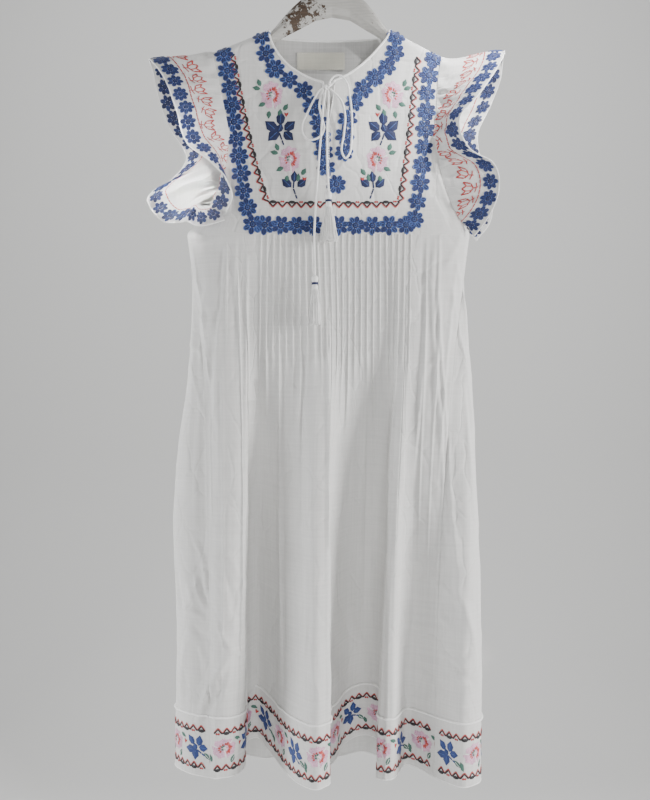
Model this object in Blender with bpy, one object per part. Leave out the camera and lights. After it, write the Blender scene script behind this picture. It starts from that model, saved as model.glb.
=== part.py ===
"""Peasant dress with flutter sleeves, hanging on a painted wooden hanger.

The origin is the inside top of the hanger's hook. The front faces -Y and +Z is up.
Tables are in millimetres and the meshes are made in metres.
"""

import math
from collections import namedtuple

import bmesh
import bpy
import numpy as np

MM = 0.001
GAP = 0.3
WALL = 1.2
YOKE_BOTTOM = -433.0
UNDERARM = -427.0
BAND_SEAM = -1108.0
HEM = -1192.0
BODY_CENTRE = -5.0
BODY_HALF_WIDTH = 204.0
SHOULDER_END = (-171.5, 157.5)
TUCKS = 25
TUCK_PITCH = 8.8
TUCK_FIRST = -101.0
TUCK_WIDTH = 2.9
TUCK_HEIGHT = 1.0
TUCK_END = -606.0
SLIT_TOP_LEFT = -14.3
SLIT_TOP_RIGHT = 4.3
SLIT_END = -352.0
SLIT_X = -5.0
SLIT_HEIGHTS = (YOKE_BOTTOM, -271.0, -240.0, -213.0)
SLIT_HALF_WIDTHS = (0.5, 0.7, 6.0, 9.3)
YOKE_ROWS = (0, 0.014, 0.045, 0.1, 0.2, 0.3, 0.42, 0.54, 0.66, 0.78, 0.9, 1.0)
BACK_ROWS = (0, 0.014, 0.045, 0.1, 0.18, 0.28, 0.4, 0.52, 0.64, 0.76, 0.88)
WEDGE_ROWS = (-294, -320, -346, -370, -390, -405, -419, UNDERARM)
BINDING = 3.2
BACK_NECK_DROP = 9.0
SLEEVE_EASE = 1.2
CORD = 3.0
HOOK_WIRE = 3.4
HOOK_RADIUS = 21.7
STRAND_ROOTS = 3.85

# Depth of the upper body, front and back, and the half width its ends curve in from.
Depth = namedtuple("Depth", "z front back half_width")
BODY = (
    Depth(-130, 15.0, 15.0, 330),
    Depth(-200, 20.0, 18.0, 300),
    Depth(-260, 25.0, 21.0, 260),
    Depth(-330, 31.0, 24.0, 225),
    Depth(-400, 36.0, 27.0, 208),
    Depth(YOKE_BOTTOM, 38.0, 28.0, BODY_HALF_WIDTH),
)

# Where the shoulder line lies along the hanger's arms.
Shoulder = namedtuple("Shoulder", "x z")
SHOULDER = (
    Shoulder(-290, -214),
    Shoulder(-171, -164),
    Shoulder(-94, -133),
    Shoulder(-86, -119),
    Shoulder(0, -112),
    Shoulder(78, -119),
    Shoulder(87, -133),
    Shoulder(158, -171),
    Shoulder(290, -236),
)

# Side edges of the yoke.
Sides = namedtuple("Sides", "z x_left x_right")
YOKE_SIDE = (
    Sides(-160, -172.3, 159.3),
    Sides(-204, -163.0, 152.0),
    Sides(-255, -152.5, 148.5),
    Sides(-313, -141.0, 141.5),
    Sides(-370, -130.0, 133.0),
    Sides(-421, -120.0, 126.0),
    Sides(YOKE_BOTTOM, -117.0, 124.0),
)

# The front neckline, from the left shoulder to the slit and on to the right shoulder.
NECK_LEFT = (
    (-94.0, -133.0),
    (-86.0, -158.0),
    (-68.0, -184.0),
    (-46.0, -201.0),
    (-27.0, -210.0),
    (SLIT_TOP_LEFT, -214.0),
)
NECK_RIGHT = (
    (SLIT_TOP_RIGHT, -212.0),
    (26.0, -201.0),
    (47.0, -185.0),
    (68.0, -163.0),
    (81.0, -146.0),
    (87.0, -133.0),
)

# Lower front armholes, from where they leave the yoke to the underarm.
ARMHOLE_FRONT = (
    Sides(-292, -147.5, 147.0),
    Sides(-325, -149.0, 152.0),
    Sides(-355, -155.0, 158.0),
    Sides(-380, -165.0, 167.0),
    Sides(-405, -181.0, 180.0),
    Sides(-420, -199.0, 192.0),
    Sides(UNDERARM, -209.0, 199.0),
)
ARMHOLE_BACK = (
    Sides(-160, -172.3, 159.3),
    Sides(-215, -163.0, 151.0),
    Sides(-270, -158.0, 147.0),
    Sides(-320, -159.0, 149.0),
    Sides(-360, -168.0, 158.0),
    Sides(-395, -188.0, 178.0),
    Sides(-418, -202.0, 192.0),
    Sides(UNDERARM, -209.0, 199.0),
)

# Fold lines of the skirt, once round from the left side seam: x at five heights,
# y at the lower four, and how far the hem is lifted there.
FOLD_HEIGHTS = (YOKE_BOTTOM, -612.0, -800.0, -1000.0, HEM)
Fold = namedtuple(
    "Fold",
    "name x_yoke x_release x_thigh x_knee x_hem y_release y_thigh y_knee y_hem lift",
)
FOLDS = (
    Fold("seam_left", -209, -184, -176, -172, -170, -26, -38, -48, -54, 0),
    Fold("left_side", -192, -170, -163, -161, -162, -40, -51, -58, -58, 0),
    Fold("left_crest", -150, -150, -148, -149, -155, -48, -58, -62, -56, 0),
    Fold("left_lip", -136, -129, -127, -129, -134, -47, -53, -52, -42, 0),
    Fold("left_edge", -124, -119, -120, -122, -125, -43, -38, -26, -16, 4),
    Fold("left_under", -114, -113, -124, -130, -133, -38, -14, 2, 14, 16),
    Fold("left_recess", -102, -105, -110, -112, -114, -37, -9, 12, 27, 25),
    Fold("left_return", -90, -92, -90, -90, -90, -40, -18, -4, 2, 14),
    Fold("rise_low", -72, -73, -72, -70, -65, -42, -32, -33, -43, 3),
    Fold("rise_high", -50, -48, -48, -46, -44, -46, -50, -60, -77, 0),
    Fold("centre_crest", -24, -18, -23, -21, -19, -53, -67, -82, -93, 0),
    Fold("centre_edge", -6, -2, -6, -6, -5, -52, -62, -71, -79, 2),
    Fold("centre_under", 6, 7, -3, -8, -8, -47, -42, -42, -44, 5),
    Fold("centre_return", 18, 17, 9, 6, 6, -44, -26, -16, -10, 8),
    Fold("recess_left", 32, 31, 26, 23, 20, -42, -14, 6, 20, 20),
    Fold("recess_mid", 48, 47, 46, 46, 43, -41, -6, 18, 32, 27),
    Fold("recess_right", 64, 63, 66, 66, 63, -41, -9, 17, 30, 25),
    Fold("right_under", 80, 82, 80, 77, 75, -44, -25, -10, 0, 10),
    Fold("right_edge", 92, 89, 79, 70, 66, -51, -46, -50, -60, 0),
    Fold("right_lip", 104, 99, 90, 82, 79, -54, -58, -62, -62, 0),
    Fold("right_dip", 118, 113, 108, 107, 108, -52, -45, -34, -20, 4),
    Fold("right_mid", 142, 138, 130, 127, 128, -50, -48, -42, -35, 2),
    Fold("right_side", 178, 158, 145, 138, 135, -46, -50, -48, -44, 1),
    Fold("seam_right", 199, 172, 156, 146, 142, -38, -50, -52, -52, 0),
    Fold("back_wrap_right", 197, 184, 172, 162, 156, -32, -54, -64, -69, 0),
    Fold("right_crest", 192, 193, 188, 182, 178, -22, -54, -75, -86, 0),
    Fold("right_outline", 184, 200, 203, 203, 198, -6, -36, -60, -74, 0),
    Fold("right_turn", 172, 200, 208, 212, 208, 10, -8, -24, -36, -4),
    Fold("back_1", 152, 186, 199, 206, 203, 26, 22, 14, 6, -8),
    Fold("back_2", 122, 156, 168, 174, 172, 31, 31, 31, 34, -12),
    Fold("back_3", 92, 118, 130, 136, 134, 32, 40, 52, 62, -12),
    Fold("back_4", 62, 80, 88, 90, 90, 31, 33, 36, 42, -12),
    Fold("back_5", 28, 38, 44, 47, 46, 32, 42, 56, 68, -12),
    Fold("back_6", -6, -4, 2, 3, 0, 31, 34, 40, 47, -12),
    Fold("back_7", -40, -46, -46, -47, -49, 32, 41, 54, 66, -12),
    Fold("back_8", -72, -86, -92, -94, -96, 31, 33, 38, 44, -12),
    Fold("back_9", -102, -126, -138, -140, -141, 32, 39, 50, 58, -12),
    Fold("back_10", -132, -160, -180, -182, -184, 30, 32, 36, 40, -12),
    Fold("left_turn", -168, -190, -212, -216, -216, 24, 26, 32, 38, -8),
    Fold("left_outline", -190, -207, -229, -226, -228, 6, 2, 4, 8, -4),
    Fold("back_wrap_left", -203.5, -202, -207, -203, -198, -14, -26, -36, -42, 0),
)
SEAM_RIGHT_ROW = 23

# Sleeves: where each line leaves the armhole, the way it sets out, and its free edge.
Ray = namedtuple("Ray", "name side z_seam x_out y_out z_out x_edge y_edge z_edge sag")
SLEEVE_LEFT = (
    Ray("front_end", -1, -392, -0.9, -0.3, -0.2, -150, -46, -404, 0.0),
    Ray("front_low", -1, -368, -0.85, -0.45, 0.0, -140, -60, -384, 3.0),
    Ray("front_fold", -1, -332, -0.85, -0.45, 0.0, -158, -66, -350, 4.0),
    Ray("front_mid", -1, -288, -0.9, -0.4, 0.0, -202, -60, -309, 5.0),
    Ray("front_rise", -1, -242, -0.9, -0.3, -0.1, -220, -48, -255, 7.0),
    Ray("front_high", -1, -200, -0.9, -0.2, -0.2, -240, -30, -207, 7.0),
    Ray("corner_front", -1, -168, -0.95, 0.0, -0.2, -259, -14, -181, 4.0),
    Ray("shoulder", 0, -164, -0.95, 0.0, -0.2, -265, 0, -174, 3.0),
    Ray("corner_back", 1, -168, -0.95, 0.0, -0.2, -264, 14, -179, 4.0),
    Ray("back_high", 1, -200, -0.9, 0.3, -0.1, -261, 30, -202, 5.0),
    Ray("back_rise", 1, -248, -0.9, 0.4, 0.0, -246, 44, -254, 5.0),
    Ray("back_mid", 1, -296, -0.9, 0.3, 0.0, -216, 34, -312, 3.0),
    Ray("back_tip", 1, -334, -0.9, 0.2, -0.1, -269, 10, -374, 3.0),
    Ray("lobe_outer", 1, -360, -0.9, 0.0, 0.0, -239, -16, -410, 8.0),
    Ray("lobe_fold", 1, -372, -0.9, -0.4, 0.0, -208, -27, -414, 14.0),
    Ray("lobe_mid", 1, -382, -0.8, -0.6, 0.1, -184, -48, -423, 20.0),
    Ray("lobe_inner", 1, -390, -0.6, -0.8, 0.2, -150, -58, -417, 24.0),
)
SLEEVE_RIGHT = (
    Ray("front_end", -1, -417, 0.95, -0.4, -0.1, 204, -18, -432, 0.0),
    Ray("front_low", -1, -404, 0.8, -0.5, -0.1, 220, -32, -410, 3.0),
    Ray("lobe_low", -1, -376, 0.9, -0.4, -0.1, 234, -40, -375, 5.0),
    Ray("lobe_high", -1, -342, 0.9, -0.4, 0.0, 229, -46, -340, 6.0),
    Ray("front_fold", -1, -310, 0.9, -0.5, 0.0, 189, -52, -311, 4.0),
    Ray("front_mid", -1, -280, 0.9, -0.5, 0.0, 176, -62, -284, 4.0),
    Ray("front_rise", -1, -240, 0.9, -0.4, -0.1, 206, -56, -241, 7.0),
    Ray("front_high", -1, -204, 0.9, -0.2, -0.1, 238, -31, -190, 8.0),
    Ray("corner_front", -1, -175, 0.9, 0.0, -0.3, 248, -13, -167, 8.0),
    Ray("shoulder", 0, -171, 0.9, 0.0, -0.4, 250, 0, -162, 9.0),
    Ray("corner_back", 1, -175, 0.9, 0.0, -0.3, 251, 13, -166, 8.0),
    Ray("back_high", 1, -204, 0.9, 0.3, -0.1, 250, 28, -191, 6.0),
    Ray("back_rise", 1, -246, 0.9, 0.4, 0.0, 236, 42, -229, 5.0),
    Ray("back_mid", 1, -288, 0.9, 0.3, 0.0, 217, 32, -276, 4.0),
    Ray("back_fold", 1, -330, 0.9, 0.3, 0.0, 232, 46, -338, 4.0),
    Ray("back_low", 1, -376, 0.9, 0.2, -0.1, 236, 26, -400, 3.0),
    Ray("back_end", 1, -410, 0.8, 0.3, -0.3, 212, 13, -433, 0.0),
)

# Stations of the hanger's wooden body along x.
Station = namedtuple("Station", "x z_top z_bottom half_depth")
HANGER = (
    Station(-190, -178.0, -188.0, 3.0),
    Station(-186, -173.5, -191.0, 6.5),
    Station(-171, -166.0, -189.0, 9.0),
    Station(-130, -150.0, -172.0, 9.5),
    Station(-98, -137.5, -156.0, 9.5),
    Station(-89, -134.2, -151.5, 9.0),
    Station(-79, -122.5, -146.5, 9.0),
    Station(-62, -102.0, -137.0, 9.5),
    Station(-46, -87.0, -129.0, 9.5),
    Station(-24, -68.0, -117.0, 9.5),
    Station(0, -62.0, -112.0, 9.5),
    Station(26, -69.0, -116.5, 9.5),
    Station(50, -90.0, -131.0, 9.5),
    Station(61, -104.0, -137.5, 9.5),
    Station(74, -121.5, -146.0, 9.0),
    Station(82, -134.0, -152.5, 9.0),
    Station(91, -137.8, -157.0, 9.5),
    Station(122, -154.2, -177.0, 9.5),
    Station(158, -173.2, -196.0, 9.0),
    Station(184, -188.0, -207.0, 6.5),
    Station(188, -193.0, -204.0, 3.0),
)
HOOK_PATH = (
    (0, -70), (0, -55), (3, -47), (10, -41), (16.5, -34), (20.5, -27),
)

# The neck tie, knotted into a bow: x, y and z of its centre lines.
BINDING_START = ((-11.6, -30.2, -223.0), (-12.8, -26.5, -217.5))
BINDING_END = ((1.8, -26.5, -216.0), (-3.6, -30.2, -222.4))
BOW_LEFT = (
    (-12.8, -33.0, -225.9), (-18, -34, -230), (-24, -35, -240), (-34, -36.5, -260),
    (-42, -37.5, -280), (-41, -38, -292), (-34, -38.5, -300), (-25, -39, -300),
    (-14, -39.5, -293), (-11, -39.5, -284), (-14.5, -38.5, -269), (-18, -37.5, -252),
    (-16.5, -36.5, -241), (-12.6, -34.5, -228.4),
)
BOW_RIGHT = (
    (-4.2, -33.0, -221.0), (-1.0, -33, -213), (5, -33.5, -208), (13, -34, -209), (20, -35, -217),
    (25, -36, -238), (28, -37.5, -270), (27.5, -38.5, -300), (24, -39, -321),
    (19, -39, -327), (14.5, -39, -320), (16.5, -38.5, -293), (18.5, -37, -266),
    (12, -36.5, -243), (-2.2, -34.5, -227.8),
)
END_SHORT = (
    (-5.5, -34.8, -229.7), (-5.3, -35.6, -234), (-5.0, -38.5, -245), (-7, -40.5, -290),
    (-7, -42.5, -335), (-5, -47.5, -374.6),
)
END_LONG = (
    (-9.3, -34.8, -229.7), (-9.8, -36.4, -234), (-11.5, -42.0, -248), (-16, -45.6, -300),
    (-20, -45.5, -350), (-23, -46.5, -395), (-25, -51, -440), (-24, -57.5, -493.7),
)
KNOT = (-7.5, -33.2, -225.0)
KNOT_RADII = (4.4, 3.6, 4.4)
Tassel = namedtuple("Tassel", "name x y z_top head skirt spread_x spread_y")
TASSELS = (
    Tassel("tassel_short", -5.0, -48.0, -374.5, 24.0, 50.0, 13.0, 6.0),
    Tassel("tassel_long", -24.0, -58.0, -493.5, 22.0, 50.0, 8.0, 6.0),
)

LABEL = (-51.0, 19.0, -157.0, -182.0)

COLLECTION = "peasant_dress"
COTTON = (0.86, 0.85, 0.84, 1)
CORD_WHITE = (0.9, 0.89, 0.87, 1)
THREAD_BLUE = (0.035, 0.06, 0.2, 1)
LABEL_CREAM = (0.8, 0.77, 0.66, 1)
PAINT = (0.72, 0.71, 0.68, 1)
STEEL = (0.55, 0.55, 0.54, 1)


def material(name, colour, roughness=0.9, metallic=0.0):
    made = bpy.data.materials.new(name)
    made.use_nodes = True
    shader = made.node_tree.nodes["Principled BSDF"]
    shader.inputs["Base Color"].default_value = colour
    shader.inputs["Roughness"].default_value = roughness
    shader.inputs["Metallic"].default_value = metallic
    made.diffuse_color = colour
    return made


def link(name, data, look):
    made = bpy.data.objects.new(name, data)
    bpy.data.collections[COLLECTION].objects.link(made)
    data.materials.append(look)
    return made


def smooth(knots, values, at):
    """A smooth curve through the values at increasing knots, read at the places given."""
    knots = np.asarray(knots, float)
    values = np.asarray(values, float)
    if values.ndim == 1:
        values = values[:, None]
    at = np.clip(np.atleast_1d(np.asarray(at, float)), knots[0], knots[-1])
    step = np.diff(knots)[:, None]
    slope = np.diff(values, axis=0) / step
    tangent = np.empty_like(values)
    tangent[0] = slope[0]
    tangent[-1] = slope[-1]
    tangent[1:-1] = (slope[1:] * step[:-1] + slope[:-1] * step[1:]) / (step[1:] + step[:-1])
    i = np.clip(np.searchsorted(knots, at, side="right") - 1, 0, len(knots) - 2)
    h = step[i]
    t = ((at - knots[i]) / h[:, 0])[:, None]
    out = (2 * t**3 - 3 * t**2 + 1) * values[i] + (t**3 - 2 * t**2 + t) * h * tangent[i]
    out = out + (3 * t**2 - 2 * t**3) * values[i + 1] + (t**3 - t**2) * h * tangent[i + 1]
    return out


def column(table, name, heights):
    """One column of a table read at other heights."""
    rows = sorted(table)
    return smooth([row.z for row in rows], [getattr(row, name) for row in rows], heights)[:, 0]


def shoulder_z(x):
    rows = np.asarray(SHOULDER, float)
    return np.interp(x, rows[:, 0], rows[:, 1])


def body_y(x, z, side):
    """Depth of the upper body: side -1 is the front and 1 the back."""
    x = np.asarray(x, float)
    z = np.asarray(z, float)
    depth = column(BODY, "front" if side < 0 else "back", z.ravel()).reshape(z.shape)
    half = column(BODY, "half_width", z.ravel()).reshape(z.shape)
    across = np.clip(np.abs(x - BODY_CENTRE) / half, 0, 1)
    drop = np.clip((shoulder_z(x) - z) / 15.0, 0, 1)
    roll = np.sqrt(np.clip(1 - (1 - drop) ** 2, 0, 1))
    return side * depth * np.sqrt(np.clip(1 - across**4, 0, 1)) * roll


def upper_point(x, z, side):
    x, z = np.broadcast_arrays(np.asarray(x, float), np.asarray(z, float))
    return np.stack([x, body_y(x, z, side), z], axis=-1)


def upper_normal(x, z, side, reach=1.5):
    """Outward direction of the upper body."""
    x, z = np.broadcast_arrays(np.asarray(x, float), np.asarray(z, float))
    top = shoulder_z(x)
    low = np.minimum(z - reach, top - reach)
    along = upper_point(x + reach, z, side) - upper_point(x - reach, z, side)
    up = upper_point(x, np.minimum(low + 2 * reach, top), side) - upper_point(x, low, side)
    along[..., 2] = 0
    out = np.cross(along, up)
    out = out / np.linalg.norm(out, axis=-1, keepdims=True)
    out = np.where(out[..., 1:2] * side < 0, -out, out)
    drop = np.clip((top - z) / 15.0, 0, 1)[..., None]
    rounded = np.concatenate([np.zeros_like(drop), side * drop, 1 - drop], axis=-1)
    rounded = rounded / np.linalg.norm(rounded, axis=-1, keepdims=True)
    mixed = rounded * (1 - drop) + out * drop
    return mixed / np.linalg.norm(mixed, axis=-1, keepdims=True)


class Skirt:
    """The skirt as one closed loop of fold lines, front and back in turn."""

    def __init__(self):
        rows = FOLDS
        self.count = len(rows)
        xs = np.array([row[1:6] for row in rows], float)
        ys = np.array([row[6:10] for row in rows], float)
        side = np.where(np.arange(self.count) <= SEAM_RIGHT_ROW, -1.0, 1.0)
        top = np.array([
            float(body_y(x, YOKE_BOTTOM, s)) for x, s in zip(xs[:, 0], side)
        ])
        self.x = xs
        self.y = np.concatenate([top[:, None], ys], axis=1)
        self.lift = np.array([row[10] for row in rows], float)
        knee = np.stack([self.x[:, 3], self.y[:, 3]], axis=1)
        chord = np.linalg.norm(np.roll(knee, -1, axis=0) - knee, axis=1)
        self.knots = np.concatenate([[0], np.cumsum(chord)])
        self.length = self.knots[-1]
        self.seam_right = self.knots[SEAM_RIGHT_ROW]

    def lines(self, z):
        """Every fold line's x and y at one height."""
        heights = -np.array(FOLD_HEIGHTS)
        x = smooth(heights, self.x.T, -z)[0]
        y = smooth(heights, self.y.T, -z)[0]
        return x, y

    def points(self, u, z):
        """Points at the places u round the loop, at the height z of the unlifted cloth."""
        x, y = self.lines(z)
        values = np.stack([x, y, self.lift], axis=1)
        values = np.concatenate([values, values, values])
        step = np.linalg.norm(np.diff(values[:, :2], axis=0), axis=1)
        knots = np.concatenate([[0], np.cumsum(step)])
        rank = self.count + np.interp(np.mod(u, self.length), self.knots, np.arange(self.count + 1))
        at = smooth(knots, values, np.interp(rank, np.arange(len(knots)), knots))
        growth = ((YOKE_BOTTOM - z) / (YOKE_BOTTOM - HEM)) ** 2
        return np.stack([at[:, 0], at[:, 1], z + at[:, 2] * growth], axis=1)

    def normals(self, u, z, reach=1.5):
        u = np.asarray(u, float)
        along = self.points(u + reach, z) - self.points(u - reach, z)
        up = self.points(u, min(z + 3, YOKE_BOTTOM)) - self.points(u, max(z - 3, HEM))
        out = np.cross(along, up)
        return out / np.linalg.norm(out, axis=1, keepdims=True)

    def places(self, first, last, per_fold):
        """Columns between two rows of the table, the same number in each fold."""
        inside = []
        for i in range(first, last):
            share = np.linspace(0, 1, per_fold, endpoint=False)
            inside.extend(self.knots[i] + share * (self.knots[i + 1] - self.knots[i]))
        return np.array(inside + [self.knots[last]])

    def u_at(self, x, z, first, last):
        """Place round the loop where the front crosses x at a height above the sharp folds."""
        u = np.linspace(self.knots[first], self.knots[last], 800)
        across = self.points(u, z)[:, 0]
        return np.interp(x, across, u)


class Cloth:
    """A piece of cloth: pairs of outer and inner points, and the faces between them."""

    def __init__(self):
        self.outer = []
        self.inner = []
        self.faces = []

    def row(self, points, normals, thickness=WALL):
        start = len(self.outer)
        self.outer.extend(points)
        self.inner.extend(points - normals * thickness)
        return list(range(start, start + len(points)))

    def strip(self, above, below):
        """Quads between two rows of the same length, running left to right."""
        for i in range(len(above) - 1):
            self.faces.append((above[i], below[i], below[i + 1], above[i + 1]))

    def zip(self, above, below, above_at, below_at):
        """Triangles between two rows of unlike length, matched by their places."""
        i, j = 0, 0
        while i < len(above) - 1 or j < len(below) - 1:
            next_above = above_at[i + 1] if i < len(above) - 1 else math.inf
            next_below = below_at[j + 1] if j < len(below) - 1 else math.inf
            if next_above <= next_below:
                self.faces.append((above[i], below[j], above[i + 1]))
                i += 1
            else:
                self.faces.append((above[i], below[j], below[j + 1]))
                j += 1

    def solid(self, name, look):
        count = len(self.outer)
        faces = list(self.faces)
        faces += [tuple(i + count for i in reversed(face)) for face in self.faces]
        edges = set()
        for face in self.faces:
            for a, b in zip(face, face[1:] + face[:1]):
                edges.add((a, b))
        for a, b in sorted(edges):
            if (b, a) not in edges:
                faces.append((b, a, a + count, b + count))
        mesh = bpy.data.meshes.new(name)
        points = np.array(self.outer + self.inner) * MM
        mesh.from_pydata(points.tolist(), [], faces)
        shape = bmesh.new()
        shape.from_mesh(mesh)
        bmesh.ops.recalc_face_normals(shape, faces=shape.faces)
        shape.to_mesh(mesh)
        shape.free()
        made = link(name, mesh, look)
        mesh.shade_smooth()
        mesh.set_sharp_from_angle(angle=math.radians(50))
        return made


def arc_places(points, count):
    """Evenly spaced points along a polyline."""
    points = np.asarray(points, float)
    length = np.concatenate([[0], np.cumsum(np.linalg.norm(np.diff(points, axis=0), axis=1))])
    return smooth(length, points, np.linspace(0, length[-1], count))


def yoke(look):
    """The bib with its neckline, its slit and the roll over the hanger."""
    cloth = Cloth()
    top = YOKE_BOTTOM + GAP / 2
    sides = []
    for side in (-1, 1):
        outer_x = SHOULDER_END[0] if side < 0 else SHOULDER_END[1]
        neck = NECK_LEFT if side < 0 else NECK_RIGHT[::-1]
        curve = arc_places(neck, 10)
        curve = np.insert(curve, 1, curve[0] * 0.7 + curve[1] * 0.3, axis=0)
        xs = np.concatenate([np.linspace(outer_x, neck[0][0], 5)[:4], curve[:, 0]])
        zs = np.concatenate([shoulder_z(xs[:4]), curve[:, 1]])
        share = (xs - outer_x) / (neck[-1][0] - outer_x)
        on_shoulder = np.arange(len(xs)) < 5
        rows = []
        for v in YOKE_ROWS:
            z = zs + (top - zs) * v
            bend = column(YOKE_SIDE, "x_left" if side < 0 else "x_right", z)
            open_half = np.interp(z, SLIT_HEIGHTS, SLIT_HALF_WIDTHS)
            middle = SLIT_X + side * open_half
            x = bend + (middle - bend) * share
            x = np.where(v < 0.02, xs, x)
            seam = np.where(on_shoulder & (v == 0), GAP / 2, 0)
            points = upper_point(x, z, -1)
            points[:, 1] -= seam
            normal = upper_normal(x, z, -1)
            order = slice(None) if side < 0 else slice(None, None, -1)
            rows.append((points[order], normal[order], z[order]))
        sides.append(rows)
    left_rows, right_rows = [], []
    for left, right in zip(*sides):
        left_rows.append(cloth.row(left[0], left[1]))
        right_rows.append(cloth.row(right[0], right[1]))
    for i in range(len(left_rows) - 1):
        cloth.strip(left_rows[i], left_rows[i + 1])
        cloth.strip(right_rows[i], right_rows[i + 1])
        if sides[0][i][2][-1] < SLIT_END + 8:
            cloth.strip(
                [left_rows[i][-1], right_rows[i][0]],
                [left_rows[i + 1][-1], right_rows[i + 1][0]],
            )
    return cloth.solid("front_yoke", look)


def tuck_columns():
    """Places across the tucks and how far each stands out."""
    across, height = [], []
    for i in range(TUCKS):
        start = TUCK_FIRST + i * TUCK_PITCH
        for step, rise in ((0, 0), (0.35, 1), (TUCK_WIDTH, 1), (TUCK_WIDTH + 0.5, 0)):
            across.append(start + step)
            height.append(rise * TUCK_HEIGHT)
    return np.array(across), np.array(height)


def front_panel(skirt, look):
    """The tucked panel below the yoke with its wedges up to the armholes."""
    cloth = Cloth()
    wedge_z = WEDGE_ROWS + (YOKE_BOTTOM - GAP / 2,)
    ends = []
    for side in (-1, 1):
        key = "x_left" if side < 0 else "x_right"
        previous = None
        for z in wedge_z:
            inner_x = float(column(YOKE_SIDE, key, [z])[0]) + side * GAP
            outer_x = float(column(ARMHOLE_FRONT, key, [max(z, UNDERARM)])[0])
            across = np.linspace(outer_x, inner_x, 5)
            if side > 0:
                across = across[::-1]
            if z == wedge_z[-1]:
                lo, hi = (0, 6) if side < 0 else (19, SEAM_RIGHT_ROW)
                u = skirt.u_at(across, z, lo, hi)
                if side < 0:
                    u[0] = GAP / 2
                else:
                    u[-1] = skirt.seam_right - GAP / 2
                points = skirt.points(u, z)
                normals = skirt.normals(u, z)
            else:
                points = upper_point(across, np.full(5, float(z)), -1)
                normals = upper_normal(across, np.full(5, float(z)), -1)
            row = cloth.row(points, normals)
            if previous:
                cloth.strip(previous, row)
            previous = row
        ends.append((u, previous))
    (left_u, left_row), (right_u, right_row) = ends
    across, height = tuck_columns()
    lines = skirt.u_at(across, YOKE_BOTTOM - GAP / 2, 0, SEAM_RIGHT_ROW)
    rows = []
    tuck_z = [YOKE_BOTTOM - GAP / 2, -470, -510, -550, -585, TUCK_END]
    for index, z in enumerate(tuck_z):
        points = skirt.points(lines, z)
        normals = skirt.normals(lines, z)
        crest = points + normals * height[:, None]
        start = len(cloth.outer)
        cloth.outer.extend(crest)
        cloth.inner.extend(points - normals * WALL)
        middle = list(range(start, start + len(lines)))
        if index == 0:
            left, right = left_row, right_row
        else:
            left = cloth.row(skirt.points(left_u, z), skirt.normals(left_u, z))
            right = cloth.row(skirt.points(right_u, z), skirt.normals(right_u, z))
        rows.append(left + middle + right)
    for above, below in zip(rows, rows[1:]):
        cloth.strip(above, below)
    fine_u = np.concatenate([left_u, lines, right_u])
    coarse = skirt.places(0, SEAM_RIGHT_ROW, 2)
    coarse[0] = GAP / 2
    coarse[-1] = skirt.seam_right - GAP / 2
    lower_z = [-618, -660, -710, -765, -820, -875, -930, -985, -1040, -1080, BAND_SEAM + GAP / 2]
    previous = None
    for z in lower_z:
        row = cloth.row(skirt.points(coarse, z), skirt.normals(coarse, z))
        if previous is None:
            cloth.zip(rows[-1], row, fine_u, coarse)
        else:
            cloth.strip(previous, row)
        previous = row
    return cloth.solid("front_panel", look)


def back_panel(skirt, look):
    """The plain back from the shoulders and neck to the band."""
    cloth = Cloth()
    neck_x = (NECK_LEFT[0][0], NECK_RIGHT[-1][0])
    rows = []
    top_x = np.concatenate([
        np.linspace(SHOULDER_END[0], neck_x[0], 5), [neck_x[0] + 3.5],
        np.linspace(neck_x[0] + 13, neck_x[1] - 13, 14),
        [neck_x[1] - 3.5], np.linspace(neck_x[1], SHOULDER_END[1], 5),
    ])
    share = (top_x - SHOULDER_END[0]) / (SHOULDER_END[1] - SHOULDER_END[0])
    in_neck = (top_x > neck_x[0]) & (top_x < neck_x[1])
    neck = np.clip((top_x - neck_x[0]) / (neck_x[1] - neck_x[0]), 0, 1)
    dip = -133 - BACK_NECK_DROP * np.sin(np.pi * neck) ** 0.5
    top_z = np.where(in_neck, dip, shoulder_z(top_x))
    for v in BACK_ROWS:
        z = top_z + (UNDERARM - top_z) * v
        left = column(ARMHOLE_BACK, "x_left", z)
        right = column(ARMHOLE_BACK, "x_right", z)
        x = left + (right - left) * share
        x = np.where(v < 0.02, top_x, x)
        points = upper_point(x, z, 1)
        points[:, 1] += np.where((v == 0) & ~in_neck, GAP / 2, 0)
        rows.append(cloth.row(points[::-1], upper_normal(x, z, 1)[::-1]))
    u = skirt.places(SEAM_RIGHT_ROW, skirt.count, 2)
    u[0] += GAP / 2
    u[-1] -= GAP / 2
    z_rows = [YOKE_BOTTOM, -460, -500, -555, -610, -665, -720, -775, -830, -885, -940, -995,
              -1045, -1080, BAND_SEAM + GAP / 2]
    previous = None
    for z in z_rows:
        points = skirt.points(u, z)
        row = cloth.row(points, skirt.normals(u, z))
        if previous is None:
            upper_at = points_x_match(cloth, rows[-1], u, points)
            cloth.zip(rows[-1], row, upper_at, u)
        else:
            cloth.strip(previous, row)
        previous = row
    for above, below in zip(rows, rows[1:]):
        cloth.strip(above, below)
    return cloth.solid("back_panel", look)


def points_x_match(cloth, row, u, points):
    """Places on the row below, matched by x, for a row that runs the same way."""
    x = np.array([cloth.outer[i][0] for i in row])
    order = np.argsort(points[:, 0])
    at = np.interp(x, points[order, 0], np.asarray(u)[order])
    at[0], at[-1] = u[0], u[-1]
    return np.maximum.accumulate(at)


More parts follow.
